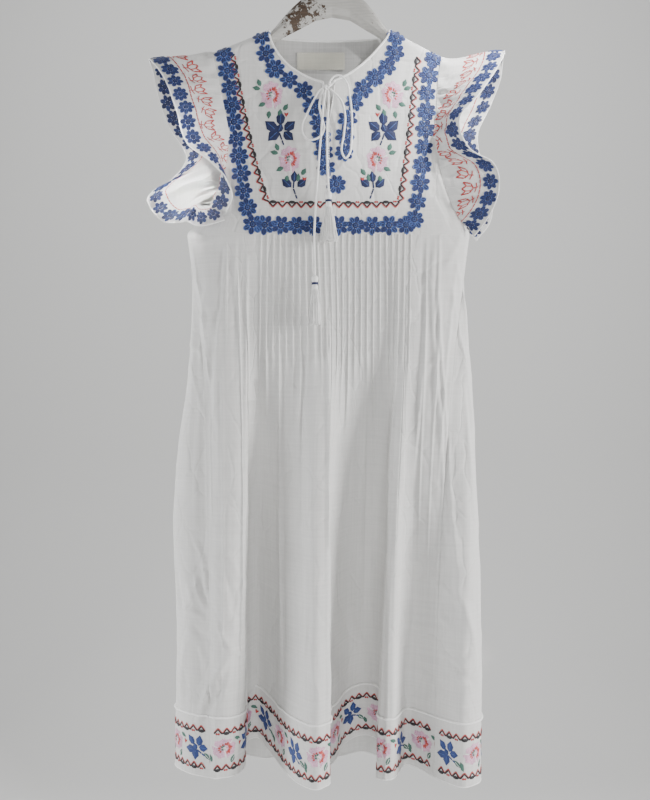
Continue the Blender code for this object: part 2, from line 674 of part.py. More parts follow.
def band(skirt, name, first, last, look):
    """The hem band, which goes on from the panel above it."""
    cloth = Cloth()
    u = skirt.places(first, last, 2)
    u[0] += GAP / 2
    u[-1] -= GAP / 2
    previous = None
    for z in (BAND_SEAM - GAP / 2, -1136, -1164, HEM):
        row = cloth.row(skirt.points(u, z), skirt.normals(u, z))
        if previous is not None:
            cloth.strip(previous, row)
        previous = row
    return cloth.solid(name, look)


def armhole_points(z, front_or_back, side):
    """Points on the armhole's faceted edge at the heights given."""
    key = "x_left" if side < 0 else "x_right"
    top = float(shoulder_z(SHOULDER_END[0 if side < 0 else 1]))
    yoke_z = top + (YOKE_BOTTOM + GAP / 2 - top) * np.array(YOKE_ROWS)
    yoke_z = yoke_z[yoke_z > WEDGE_ROWS[0]]
    wedge_z = np.array(WEDGE_ROWS, float)
    front_z = np.concatenate([yoke_z, wedge_z])
    front_x = np.concatenate([column(YOKE_SIDE, key, yoke_z), column(ARMHOLE_FRONT, key, wedge_z)])
    back_z = top + (UNDERARM - top) * np.array(BACK_ROWS + (1.0,))
    back_x = column(ARMHOLE_BACK, key, back_z)
    edges = []
    for xs, zs, facing in ((front_x, front_z, -1), (back_x, back_z, 1)):
        ys = body_y(xs, zs, facing)
        edges.append(np.stack([np.interp(-z, -zs, xs), np.interp(-z, -zs, ys), z], axis=1))
    return np.where((front_or_back < 0)[:, None], edges[0], edges[1])


def sleeve(name, table, look, side):
    """A flutter sleeve: a line out of the armhole for each row of its table."""
    cloth = Cloth()
    rows = np.array([row[1:] for row in table], float)
    gaps = np.linalg.norm(np.diff(rows[:, 5:8], axis=0), axis=1)
    gaps = gaps + np.abs(np.diff(rows[:, 1]))
    knots = np.concatenate([[0], np.cumsum(gaps)])
    turn = knots[[row[1] for row in table].index(0)]
    places = []
    for a, b in zip(knots, knots[1:]):
        places.extend([a, (a + b) / 2])
    places.append(knots[-1])
    at = smooth(knots, rows, places)
    out = at[:, 2:5] / np.linalg.norm(at[:, 2:5], axis=1, keepdims=True)
    seam = armhole_points(at[:, 1], np.sign(np.array(places) - turn), side) + out * SLEEVE_EASE
    edge = at[:, 5:8]
    reach = np.linalg.norm(edge - seam, axis=1, keepdims=True)
    first = seam + out * reach * 0.34
    last = edge + (seam - edge) * 0.3
    last[:, 2] += at[:, 8]
    grid = []
    for t in (0, 0.12, 0.27, 0.45, 0.63, 0.82, 1.0):
        a, b, c, d = (1 - t) ** 3, 3 * t * (1 - t) ** 2, 3 * t * t * (1 - t), t**3
        grid.append(a * seam + b * first + c * last + d * edge)
    grid = np.array(grid)
    down = np.gradient(grid, axis=0)
    along = np.gradient(grid, axis=1)
    normals = np.cross(along, down) * side
    normals = normals / np.linalg.norm(normals, axis=2, keepdims=True)
    previous = None
    for points, facing in zip(grid, normals):
        row = cloth.row(points, facing)
        if previous is not None:
            cloth.strip(previous, row)
        previous = row
    return cloth.solid(name, look)


def binding(look):
    """The narrow binding round the neck, open at the slit."""
    path = []
    for half in (NECK_LEFT[::-1], NECK_RIGHT[::-1]):
        curve = arc_places(half, 13)
        ahead = np.gradient(curve, axis=0)
        ahead = ahead / np.linalg.norm(ahead, axis=1, keepdims=True)
        clear = BINDING / 2 + GAP * 2
        xs = curve[:, 0] + ahead[:, 1] * clear
        zs = curve[:, 1] - ahead[:, 0] * clear
        ys = body_y(xs, np.minimum(zs, -140.0), -1)
        path.append([(x, y, z) for x, y, z in zip(xs, ys, zs) if z < -143])
    share = np.linspace(0, 1, 13)[1:-1]
    left_x, right_x = NECK_LEFT[0][0], NECK_RIGHT[-1][0]
    rise = -133 + BINDING / 2 + GAP
    back = [
        (left_x + (right_x - left_x) * k,
         float(body_y(left_x + (right_x - left_x) * k, -150.0, 1)),
         rise - BACK_NECK_DROP * math.sin(math.pi * k) ** 0.5)
        for k in share
    ]
    low = rise - 1.2
    beside = -131.1 - BACK_NECK_DROP * math.sin(math.pi * 5 / (right_x - left_x)) ** 0.5
    over_left = [
        (left_x + 4.0, -13.0, -137.0), (left_x + 2.1, -6.0, low), (left_x + 2.1, 6.0, low),
        (left_x + 5, 13.0, beside),
    ]
    over_right = [
        (right_x - 5, 13.0, beside), (right_x - 2.1, 6.0, low), (right_x - 2.1, -6.0, low),
        (right_x - 4.0, -13.0, -137.0),
    ]
    left, right = path
    route = [*BINDING_START, *left, *over_left, *back, *over_right, *right, *BINDING_END]
    return tube("neck_binding", route, BINDING, look)


def tube(name, path, diameter, look, resolution=1):
    data = bpy.data.curves.new(name, "CURVE")
    data.dimensions = "3D"
    data.bevel_depth = diameter / 2 * MM
    data.bevel_resolution = resolution
    data.use_fill_caps = True
    data.resolution_u = 1
    line = data.splines.new("POLY")
    line.points.add(len(path) - 1)
    for point, place in zip(line.points, path):
        point.co = (place[0] * MM, place[1] * MM, place[2] * MM, 1)
        point.radius = 1
    line.use_smooth = True
    return link(name, data, look)


def tassel(row, cord_look, thread_look):
    """A wrapped head with separate strands that grow out of its underside."""
    name, x, y, z_top, head, skirt, spread_x, spread_y = row
    shape = bmesh.new()
    segments = 16
    profile = ((4.3, -head), (4.6, -head + 5), (3.4, -head + 8), (3.4, -head + 12), (4.6, -head + 15),
               (4.4, -4), (2.6, -0.5))
    rings = []
    for radius, height in profile:
        ring = []
        for i in range(segments):
            turn = 2 * math.pi * i / segments
            ring.append(shape.verts.new([
                radius * math.cos(turn) * MM, radius * math.sin(turn) * MM, height * MM,
            ]))
        rings.append(ring)
    for low, high in zip(rings, rings[1:]):
        for i in range(segments):
            j = (i + 1) % segments
            shape.faces.new((low[i], low[j], high[j], high[i]))
    shape.faces.new(rings[-1])
    inner_rings = []
    for radius in (2.75, 1.2):
        inner_rings.append([
            shape.verts.new([
                radius * math.cos(2 * math.pi * i / segments) * MM,
                radius * math.sin(2 * math.pi * i / segments) * MM,
                -head * MM,
            ])
            for i in range(segments)
        ])
    roots = []
    for far, near, every in ((rings[0], inner_rings[0], 1), (inner_rings[0], inner_rings[1], 2)):
        for i in range(segments):
            j = (i + 1) % segments
            root = shape.faces.new((far[i], near[i], far[j]))
            shape.faces.new((near[i], near[j], far[j]))
            if i % every == 0:
                roots.append(root)
    shape.faces.new(inner_rings[1])
    bmesh.ops.recalc_face_normals(shape, faces=shape.faces)
    bmesh.ops.inset_individual(shape, faces=roots, thickness=0.14 * MM, use_even_offset=True)
    halfway = (0.5 + 0.5 * spread_x / STRAND_ROOTS, 0.5 + 0.5 * spread_y / STRAND_ROOTS)
    end = (spread_x / STRAND_ROOTS / halfway[0], spread_y / STRAND_ROOTS / halfway[1])
    for share, (grow_x, grow_y) in ((0.38, halfway), (1.0, end)):
        roots = bmesh.ops.extrude_discrete_faces(shape, faces=roots)["faces"]
        for index, root in enumerate(roots):
            middle = root.calc_center_median() / MM
            uneven = (share > 0.5) * (0.035 * math.sin(index * 2.4) - 0.035)
            sway = (share > 0.5) * 0.4 * math.sin(index * 1.7)
            move = (middle.x * (grow_x - 1) + sway, middle.y * (grow_y - 1))
            for vertex in root.verts:
                vertex.co.x += move[0] * MM
                vertex.co.y += move[1] * MM
                vertex.co.z = -(head + skirt * (share + uneven)) * MM
    mesh = bpy.data.meshes.new(name)
    shape.to_mesh(mesh)
    shape.free()
    made = link(name, mesh, cord_look)
    made.location = (x * MM, y * MM, z_top * MM)
    wrap = ring_piece(name + "_wrap", 3.4 + GAP, 5.1, 3.4, thread_look)
    wrap.location = (x * MM, y * MM, (z_top - head + 10) * MM)
    return made


def knot(look):
    shape = bmesh.new()
    bmesh.ops.create_uvsphere(shape, u_segments=12, v_segments=8, radius=MM)
    mesh = bpy.data.meshes.new("tie_knot")
    for vertex in shape.verts:
        for axis in range(3):
            vertex.co[axis] *= KNOT_RADII[axis]
    shape.to_mesh(mesh)
    shape.free()
    made = link("tie_knot", mesh, look)
    made.location = [value * MM for value in KNOT]
    mesh.shade_smooth()
    return made


def ring_piece(name, inner, outer, height, look, segments=16):
    """A band of wound thread round a tassel's neck."""
    profile = ((inner, -height / 2), (outer - 0.5, -height / 2), (outer, 0), (outer - 0.5, height / 2),
               (inner, height / 2))
    shape = bmesh.new()
    rings = []
    for i in range(segments):
        turn = 2 * math.pi * i / segments
        rings.append([
            shape.verts.new([r * math.cos(turn) * MM, r * math.sin(turn) * MM, h * MM])
            for r, h in profile
        ])
    for i in range(segments):
        here, there = rings[i], rings[(i + 1) % segments]
        for k in range(len(profile)):
            m = (k + 1) % len(profile)
            shape.faces.new((here[k], there[k], there[m], here[m]))
    bmesh.ops.recalc_face_normals(shape, faces=shape.faces)
    mesh = bpy.data.meshes.new(name)
    shape.to_mesh(mesh)
    shape.free()
    made = link(name, mesh, look)
    mesh.shade_smooth()
    return made


def hanger(look, steel):
    """The wooden arms and crown as one lofted piece, and the wire hook above it."""
    segments = 12
    shape = bmesh.new()
    rings = []
    for x, z_top, z_bottom, half in HANGER:
        ring = []
        middle, rise = (z_top + z_bottom) / 2, (z_top - z_bottom) / 2
        for i in range(segments):
            turn = 2 * math.pi * i / segments
            c, s = math.cos(turn), math.sin(turn)
            y = half * c
            z = middle + rise * s
            ring.append(shape.verts.new((x * MM, y * MM, z * MM)))
        rings.append(ring)
    for here, there in zip(rings, rings[1:]):
        for i in range(segments):
            j = (i + 1) % segments
            shape.faces.new((here[i], here[j], there[j], there[i]))
    shape.faces.new(rings[0][::-1])
    shape.faces.new(rings[-1])
    bmesh.ops.recalc_face_normals(shape, faces=shape.faces)
    mesh = bpy.data.meshes.new("hanger_body")
    shape.to_mesh(mesh)
    shape.free()
    link("hanger_body", mesh, look)
    mesh.shade_smooth()
    radius = HOOK_RADIUS
    drop = -radius + HOOK_WIRE / 2
    path = [(x, 0.0, z) for x, z in HOOK_PATH]
    path[0] = (0, 0.0, -62.0 + GAP)
    for i in range(17):
        turn = math.radians(-8 + 206 * i / 16)
        path.append((radius * math.cos(turn), 0.0, drop + radius * math.sin(turn)))
    tube("hanger_hook", path, HOOK_WIRE, steel, 2)


def label(look):
    """The blank label sewn inside the back neck."""
    cloth = Cloth()
    left, right, top, bottom = LABEL
    previous = None
    for z in np.linspace(top, bottom, 3):
        x = np.linspace(left, right, 6)
        z_row = np.full(6, float(z))
        points = upper_point(x, z_row, 1)
        normals = upper_normal(x, z_row, 1)
        points = points - normals * (WALL + GAP)
        row = cloth.row(points[::-1], normals[::-1], 1.0)
        if previous is not None:
            cloth.strip(previous, row)
        previous = row
    return cloth.solid("neck_label", look)


def main():
    for old in list(bpy.data.objects):
        bpy.data.objects.remove(old, do_unlink=True)
    group = bpy.data.collections.new(COLLECTION)
    bpy.context.scene.collection.children.link(group)
    cotton = material("white_cotton", COTTON)
    cord = material("white_cord", CORD_WHITE)
    thread = material("blue_thread", THREAD_BLUE, 0.7)
    cream = material("cream_label", LABEL_CREAM)
    paint = material("white_paint", PAINT, 0.5)
    steel = material("steel_wire", STEEL, 0.35, 1.0)
    skirt = Skirt()
    hanger(paint, steel)
    yoke(cotton)
    front_panel(skirt, cotton)
    back_panel(skirt, cotton)
    band(skirt, "front_hem_band", 0, SEAM_RIGHT_ROW, cotton)
    band(skirt, "back_hem_band", SEAM_RIGHT_ROW, skirt.count, cotton)
    sleeve("sleeve_left", SLEEVE_LEFT, cotton, -1)
    sleeve("sleeve_right", SLEEVE_RIGHT, cotton, 1)
    binding(cotton)
    label(cream)
    tube("bow_loop_left", arc_places(BOW_LEFT, 30), CORD, cord)
    tube("bow_loop_right", arc_places(BOW_RIGHT, 32), CORD, cord)
    tube("tie_end_short", arc_places(END_SHORT, 12), CORD, cord)
    tube("tie_end_long", arc_places(END_LONG, 18), CORD, cord)
    knot(cord)
    for row in TASSELS:
        tassel(row, cord, thread)


main()
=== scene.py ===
"""Looks of a white cotton peasant dress with coloured stitching, on a painted wooden hanger.

Tables are in millimetres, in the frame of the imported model, and meshes are made in metres.
"""

import math
from collections import namedtuple

import bmesh
import bpy
import numpy as np
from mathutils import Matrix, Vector


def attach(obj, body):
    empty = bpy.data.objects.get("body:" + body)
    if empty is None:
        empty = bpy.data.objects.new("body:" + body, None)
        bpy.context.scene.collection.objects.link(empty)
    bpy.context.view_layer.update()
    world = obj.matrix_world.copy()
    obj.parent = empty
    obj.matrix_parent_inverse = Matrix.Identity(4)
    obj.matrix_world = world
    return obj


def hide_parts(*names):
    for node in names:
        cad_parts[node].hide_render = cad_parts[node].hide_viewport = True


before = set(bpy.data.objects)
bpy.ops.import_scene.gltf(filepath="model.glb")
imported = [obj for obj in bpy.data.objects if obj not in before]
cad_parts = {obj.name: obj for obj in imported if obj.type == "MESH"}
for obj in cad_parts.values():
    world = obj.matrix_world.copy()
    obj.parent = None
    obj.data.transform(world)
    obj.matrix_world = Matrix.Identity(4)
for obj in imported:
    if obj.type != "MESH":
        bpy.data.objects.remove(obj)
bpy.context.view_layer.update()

bl_info = {
    "name": "Peasant dress",
    "version": (1, 0, 0),
    "blender": (4, 5, 0),
    "location": "View3D > Sidebar > Dress",
    "description": "Builds the cloth, stitching, tie and hanger of a peasant dress",
    "category": "Object",
}

MM = 0.001
YOKE_BOTTOM = -433.0
UNDERARM = -427.0
BAND_SEAM = -1108.0
HEM = -1192.0
BODY_CENTRE = -5.0
BODY_HALF_WIDTH = 204.0
SHOULDER_END = (-171.5, 157.5)
TUCKS = 25
TUCK_PITCH = 8.8
TUCK_FIRST = -101.0
TUCK_END = -606.0
# How far across one tuck, in mm, and how far the cloth stands out there.
TUCK_STEPS = (
    (0, -0.15), (0.3, 0.8), (0.7, 1), (1.5, 1.0), (1.9, 0.75), (2.3, -0.1), (5.6, -0.2),
)
# Tucks that go on as pleats below their end, and how far they take to fade.
LONG_PLEATS = ((3, 330), (6, 170), (11, 760), (14, 90), (18, 200), (22, 260))
SLIT_TOP_LEFT = -14.3
SLIT_TOP_RIGHT = 4.3
SLIT_END = -352.0
SLIT_X = -5.0
SLIT_HEIGHTS = (YOKE_BOTTOM, -271.0, -240.0, -213.0)
SLIT_HALF_WIDTHS = (0.5, 0.7, 6.0, 9.3)
NECK_END = -133.0
BACK_NECK_DROP = 9.0
SEAM_DIP = 0.3
SEAM_GAP = 0.1
SEAM_FADE = 4.0
WEDGE_TOP = -294.0
# Reach and curve of the painted shade inside the back neck.
INSIDE_SHADE_FOOT = -186.0
INSIDE_SHADE_CURVE = 0.0012
CRUMPLE = 1.1
LEAST_CRUMPLE = 0.35
YOKE_CRUMPLE = 0.45
YOKE_SEED, FRONT_SEED, BACK_SEED = 5, 11, 23

# Depth of the upper body, front and back, and the half width its ends curve in from.
Depth = namedtuple("Depth", "z front back half_width")
BODY = tuple(Depth(*row) for row in (
    (-130, 15.0, 15.0, 330),
    (-200, 20.0, 18.0, 300),
    (-260, 25.0, 21.0, 260),
    (-330, 31.0, 24.0, 225),
    (-400, 36.0, 27.0, 208),
    (YOKE_BOTTOM, 38.0, 28.0, BODY_HALF_WIDTH),
))

# Where the shoulder line lies along the hanger's arms.
Shoulder = namedtuple("Shoulder", "x z")
SHOULDER = tuple(Shoulder(*row) for row in (
    (-290, -214),
    (-171, -164),
    (-94, -133),
    (-86, -119),
    (0, -112),
    (78, -119),
    (87, -133),
    (158, -171),
    (290, -236),
))

# Side edges of the yoke.
Sides = namedtuple("Sides", "z x_left x_right")
YOKE_SIDE = tuple(Sides(*row) for row in (
    (-160, -172.3, 159.3),
    (-204, -163.0, 152.0),
    (-255, -152.5, 148.5),
    (-313, -141.0, 141.5),
    (-370, -130.0, 133.0),
    (-421, -120.0, 126.0),
    (YOKE_BOTTOM, -117.0, 124.0),
))

# The front neckline, from the left shoulder to the slit and on to the right shoulder.
NECK_LEFT = (
    (-94.0, -133.0),
    (-86.0, -158.0),
    (-68.0, -184.0),
    (-46.0, -201.0),
    (-27.0, -210.0),
    (SLIT_TOP_LEFT, -214.0),
)
NECK_RIGHT = (
    (SLIT_TOP_RIGHT, -212.0),
    (26.0, -201.0),
    (47.0, -185.0),
    (68.0, -163.0),
    (81.0, -146.0),
    (87.0, -133.0),
)

# Lower front armholes, from where they leave the yoke to the underarm.
ARMHOLE_FRONT = tuple(Sides(*row) for row in (
    (-292, -147.5, 147.0),
    (-325, -149.0, 152.0),
    (-355, -155.0, 158.0),
    (-380, -165.0, 167.0),
    (-405, -181.0, 180.0),
    (-420, -199.0, 192.0),
    (UNDERARM, -209.0, 199.0),
))
ARMHOLE_BACK = tuple(Sides(*row) for row in (
    (-160, -172.3, 159.3),
    (-215, -163.0, 151.0),
    (-270, -158.0, 147.0),
    (-320, -159.0, 149.0),
    (-360, -168.0, 158.0),
    (-395, -188.0, 178.0),
    (-418, -202.0, 192.0),
    (UNDERARM, -209.0, 199.0),
))

# Fold lines of the skirt, once round from the left side seam: x at five heights,
# y at the lower four, and how far the hem is lifted there.
FOLD_HEIGHTS = (YOKE_BOTTOM, -612.0, -800.0, -1000.0, HEM)
Fold = namedtuple(
    "Fold",
    "name x_yoke x_release x_thigh x_knee x_hem y_release y_thigh y_knee y_hem lift",
)
FOLDS = tuple(Fold(*row) for row in (
    ("seam_left", -209, -184, -176, -172, -170, -26, -38, -48, -54, 0),
    ("left_side", -192, -170, -163, -161, -162, -40, -51, -58, -58, 0),
    ("left_crest", -150, -150, -148, -149, -155, -48, -58, -62, -56, 0),
    ("left_lip", -136, -129, -127, -129, -134, -47, -53, -52, -42, 0),
    ("left_edge", -124, -119, -120, -122, -125, -43, -38, -26, -16, 4),
    ("left_under", -114, -113, -124, -130, -133, -38, -14, 2, 14, 16),
    ("left_recess", -102, -105, -110, -112, -114, -37, -9, 12, 27, 25),
    ("left_return", -90, -92, -90, -90, -90, -40, -18, -4, 2, 14),
    ("rise_low", -72, -73, -72, -70, -65, -42, -32, -33, -43, 3),
    ("rise_high", -50, -48, -48, -46, -44, -46, -50, -60, -77, 0),
    ("centre_crest", -24, -18, -23, -21, -19, -53, -67, -82, -93, 0),
    ("centre_edge", -6, -2, -6, -6, -5, -52, -62, -71, -79, 2),
    ("centre_under", 6, 7, -3, -8, -8, -47, -42, -42, -44, 5),
    ("centre_return", 18, 17, 9, 6, 6, -44, -26, -16, -10, 8),
    ("recess_left", 32, 31, 26, 23, 20, -42, -14, 6, 20, 20),
    ("recess_mid", 48, 47, 46, 46, 43, -41, -6, 18, 32, 27),
    ("recess_right", 64, 63, 66, 66, 63, -41, -9, 17, 30, 25),
    ("right_under", 80, 82, 80, 77, 75, -44, -25, -10, 0, 10),
    ("right_edge", 92, 89, 79, 70, 66, -51, -46, -50, -60, 0),
    ("right_lip", 104, 99, 90, 82, 79, -54, -58, -62, -62, 0),
    ("right_dip", 118, 113, 108, 107, 108, -52, -45, -34, -20, 4),
    ("right_mid", 142, 138, 130, 127, 128, -50, -48, -42, -35, 2),
    ("right_side", 178, 158, 145, 138, 135, -46, -50, -48, -44, 1),
    ("seam_right", 199, 172, 156, 146, 142, -38, -50, -52, -52, 0),
    ("back_wrap_right", 197, 184, 172, 162, 156, -32, -54, -64, -69, 0),
    ("right_crest", 192, 193, 188, 182, 178, -22, -54, -75, -86, 0),
    ("right_outline", 184, 200, 203, 203, 198, -6, -36, -60, -74, 0),
    ("right_turn", 172, 200, 208, 212, 208, 10, -8, -24, -36, -4),
    ("back_1", 152, 186, 199, 206, 203, 26, 22, 14, 6, -8),
    ("back_2", 122, 156, 168, 174, 172, 31, 31, 31, 34, -12),
    ("back_3", 92, 118, 130, 136, 134, 32, 40, 52, 62, -12),
    ("back_4", 62, 80, 88, 90, 90, 31, 33, 36, 42, -12),
    ("back_5", 28, 38, 44, 47, 46, 32, 42, 56, 68, -12),
    ("back_6", -6, -4, 2, 3, 0, 31, 34, 40, 47, -12),
    ("back_7", -40, -46, -46, -47, -49, 32, 41, 54, 66, -12),
    ("back_8", -72, -86, -92, -94, -96, 31, 33, 38, 44, -12),
    ("back_9", -102, -126, -138, -140, -141, 32, 39, 50, 58, -12),
    ("back_10", -132, -160, -180, -182, -184, 30, 32, 36, 40, -12),
    ("left_turn", -168, -190, -212, -216, -216, 24, 26, 32, 38, -8),
    ("left_outline", -190, -207, -229, -226, -228, 6, 2, 4, 8, -4),
    ("back_wrap_left", -203.5, -202, -207, -203, -198, -14, -26, -36, -42, 0),
))
SEAM_RIGHT_ROW = 23

# Sleeves: where each line leaves the armhole, the way it sets out, and its free edge.
Ray = namedtuple("Ray", "name side z_seam x_out y_out z_out x_edge y_edge z_edge sag")
SLEEVE_LEFT = tuple(Ray(*row) for row in (
    ("front_end", -1, -392, -0.9, -0.3, -0.2, -150, -46, -404, 0.0),
    ("front_low", -1, -368, -0.85, -0.45, 0.0, -140, -60, -384, 3.0),
    ("front_fold", -1, -332, -0.85, -0.45, 0.0, -158, -66, -350, 4.0),
    ("front_mid", -1, -288, -0.9, -0.4, 0.0, -202, -60, -309, 5.0),
    ("front_rise", -1, -242, -0.9, -0.3, -0.1, -220, -48, -255, 7.0),
    ("front_high", -1, -200, -0.9, -0.2, -0.2, -240, -30, -207, 7.0),
    ("corner_front", -1, -168, -0.95, 0.0, -0.2, -259, -14, -181, 4.0),
    ("shoulder", 0, -164, -0.95, 0.0, -0.2, -265, 0, -174, 3.0),
    ("corner_back", 1, -168, -0.95, 0.0, -0.2, -264, 14, -179, 4.0),
    ("back_high", 1, -200, -0.9, 0.3, -0.1, -261, 30, -202, 5.0),
    ("back_rise", 1, -248, -0.9, 0.4, 0.0, -246, 44, -254, 5.0),
    ("back_mid", 1, -296, -0.9, 0.3, 0.0, -216, 34, -312, 3.0),
    ("back_tip", 1, -334, -0.9, 0.2, -0.1, -269, 10, -374, 3.0),
    ("lobe_outer", 1, -360, -0.9, 0.0, 0.0, -239, -16, -410, 8.0),
    ("lobe_fold", 1, -372, -0.9, -0.4, 0.0, -208, -27, -414, 14.0),
    ("lobe_mid", 1, -382, -0.8, -0.6, 0.1, -184, -48, -423, 20.0),
    ("lobe_inner", 1, -390, -0.6, -0.8, 0.2, -150, -58, -417, 24.0),
))
SLEEVE_RIGHT = tuple(Ray(*row) for row in (
    ("front_end", -1, -417, 0.95, -0.4, -0.1, 204, -18, -432, 0.0),
    ("front_low", -1, -404, 0.8, -0.5, -0.1, 220, -32, -410, 3.0),
    ("lobe_low", -1, -376, 0.9, -0.4, -0.1, 234, -40, -375, 5.0),
    ("lobe_high", -1, -342, 0.9, -0.4, 0.0, 229, -46, -340, 6.0),
    ("front_fold", -1, -310, 0.9, -0.5, 0.0, 189, -52, -311, 4.0),
    ("front_mid", -1, -280, 0.9, -0.5, 0.0, 176, -62, -284, 4.0),
    ("front_rise", -1, -240, 0.9, -0.4, -0.1, 206, -56, -241, 7.0),
    ("front_high", -1, -204, 0.9, -0.2, -0.1, 238, -31, -190, 8.0),
    ("corner_front", -1, -175, 0.9, 0.0, -0.3, 248, -13, -167, 8.0),
    ("shoulder", 0, -171, 0.9, 0.0, -0.4, 250, 0, -162, 9.0),
    ("corner_back", 1, -175, 0.9, 0.0, -0.3, 251, 13, -166, 8.0),
    ("back_high", 1, -204, 0.9, 0.3, -0.1, 250, 28, -191, 6.0),
    ("back_rise", 1, -246, 0.9, 0.4, 0.0, 236, 42, -229, 5.0),
    ("back_mid", 1, -288, 0.9, 0.3, 0.0, 217, 32, -276, 4.0),
    ("back_fold", 1, -330, 0.9, 0.3, 0.0, 232, 46, -338, 4.0),
    ("back_low", 1, -376, 0.9, 0.2, -0.1, 236, 26, -400, 3.0),
    ("back_end", 1, -410, 0.8, 0.3, -0.3, 212, 13, -433, 0.0),
))

# The neck tie, knotted into a bow: x, y and z of its centre lines.
BINDING_START = ((-11.6, -30.2, -223.0), (-12.8, -26.5, -217.5))
BINDING_END = ((1.8, -26.5, -216.0), (-3.6, -30.2, -222.4))
BOW_LEFT = (
    (-12.8, -33.0, -225.9), (-18, -34, -230), (-24, -35, -240), (-34, -36.5, -260),
    (-42, -37.5, -280), (-41, -38, -292), (-34, -38.5, -300), (-25, -39, -300),
    (-14, -39.5, -293), (-11, -39.5, -284), (-14.5, -38.5, -269), (-18, -37.5, -252),
    (-16.5, -36.5, -241), (-12.6, -34.5, -228.4),
)
BOW_RIGHT = (
    (-4.2, -33.0, -221.0), (-1.0, -33, -213), (5, -33.5, -208), (13, -34, -209), (20, -35, -217),
    (25, -36, -238), (28, -37.5, -270), (27.5, -38.5, -300), (24, -39, -321),
    (19, -39, -327), (14.5, -39, -320), (16.5, -38.5, -293), (18.5, -37, -266),
    (12, -36.5, -243), (-2.2, -34.5, -227.8),
)
END_SHORT = (
    (-5.5, -34.8, -229.7), (-5.3, -35.6, -234), (-5.0, -38.5, -245), (-7, -40.5, -290),
    (-7, -42.5, -335), (-5, -47.5, -374.6),
)
END_LONG = (
    (-9.3, -34.8, -229.7), (-9.8, -36.4, -234), (-11.5, -42.0, -248), (-16, -45.6, -300),
    (-20, -45.5, -350), (-23, -46.5, -395), (-25, -51, -440), (-24, -57.5, -493.7),
)
KNOT = (-7.5, -33.2, -225.0)
Tassel = namedtuple("Tassel", "name x y z_top head skirt spread_x spread_y")
TASSELS = (
    Tassel("tassel_short", -5.0, -48.0, -374.5, 24.0, 50.0, 13.0, 6.0),
    Tassel("tassel_long", -24.0, -58.0, -493.5, 22.0, 50.0, 8.0, 6.0),
)

# Left, right, top and bottom of the label.
LABEL = (-51.0, 19.0, -157.0, -182.0)
THREADS = ("azure", "blue", "navy", "red", "coral", "pink", "green", "black", "white")

# The stage, in metres: floor and wall, the bend between them, and where the camera stands.
STAGE_FRONT, STAGE_HALF_WIDTH, STAGE_TOP = -3.0, 3.6, 2.2
FLOOR_Z, WALL_Y, STAGE_BEND = -1.9, 2.6, 1.0
CAMERA_X, CAMERA_Z, SENSOR_WIDTH = -0.010, -0.667, 36.0
WHITE = (1, 1, 1)
Lamp = namedtuple(
    "Lamp", "name power share place aim size colour spread", defaults=(WHITE, 180),
)
LAMPS = (
    Lamp("key", "key", 1.0, (1.9, -0.72, -0.4), (0, 0, -0.75), (0.5, 0.9), (1, 0.99, 0.98)),
    Lamp("fill", "fill", 1.0, (-1.9, -0.3, -0.7), (0, 0, -0.8), (0.6, 1.4), (0.98, 0.99, 1)),
    Lamp("sun", "sun", 1.0, (0.8, -0.55, 0.45), (0.21, -0.03, -0.17), (0.05, 0.05), WHITE, 16),
    Lamp("lobe", "sun", 0.36, (-0.6, -0.95, 0.3), (-0.225, -0.02, -0.34), (0.05, 0.05), WHITE, 8),
    Lamp("rim_left", "rim", 1.0, (-1.5, 0.9, -0.4), (0, 0, -0.75), (0.4, 1.0)),
    Lamp("rim_right", "rim", 0.6, (1.5, 1.0, -0.3), (0, 0, -0.75), (0.4, 1.0)),
    Lamp("front", "front", 1.0, (0.2, -2.2, -1.3), (0, 0, -0.8), (1.2, 1.2)),
    Lamp("wall", "key", 0.8, (0.0, 0.7, 1.4), (0, 2.6, -0.6), (3.0, 1.0)),
)


def smooth(knots, values, at):
    """A smooth curve through the values at increasing knots, read at the places given."""
    knots = np.asarray(knots, float)
    values = np.asarray(values, float)
    if values.ndim == 1:
        values = values[:, None]
    at = np.clip(np.atleast_1d(np.asarray(at, float)), knots[0], knots[-1])
    step = np.diff(knots)[:, None]
    slope = np.diff(values, axis=0) / step
    tangent = np.empty_like(values)
    tangent[0] = slope[0]
    tangent[-1] = slope[-1]
    tangent[1:-1] = (slope[1:] * step[:-1] + slope[:-1] * step[1:]) / (step[1:] + step[:-1])
    i = np.clip(np.searchsorted(knots, at, side="right") - 1, 0, len(knots) - 2)
    h = step[i]
    t = ((at - knots[i]) / h[:, 0])[:, None]
    out = (2 * t**3 - 3 * t**2 + 1) * values[i] + (t**3 - 2 * t**2 + t) * h * tangent[i]
    out = out + (3 * t**2 - 2 * t**3) * values[i + 1] + (t**3 - t**2) * h * tangent[i + 1]
    return out


def column(table, name, heights):
    """One column of a table read at other heights."""
    rows = sorted(table)
    return smooth([row.z for row in rows], [getattr(row, name) for row in rows], heights)[:, 0]


def shoulder_z(x):
    rows = np.asarray(SHOULDER, float)
    return np.interp(x, rows[:, 0], rows[:, 1])


def body_y(x, z, side):
    """Depth of the upper body: side -1 is the front and 1 the back."""
    x = np.asarray(x, float)
    z = np.asarray(z, float)
    depth = column(BODY, "front" if side < 0 else "back", z.ravel()).reshape(z.shape)
    half = column(BODY, "half_width", z.ravel()).reshape(z.shape)
    across = np.clip(np.abs(x - BODY_CENTRE) / half, 0, 1)
    drop = np.clip((shoulder_z(x) - z) / 15.0, 0, 1)
    roll = np.sqrt(np.clip(1 - (1 - drop) ** 2, 0, 1))
    return side * depth * np.sqrt(np.clip(1 - across**4, 0, 1)) * roll


def upper_point(x, z, side):
    x, z = np.broadcast_arrays(np.asarray(x, float), np.asarray(z, float))
    return np.stack([x, body_y(x, z, side), z], axis=-1)


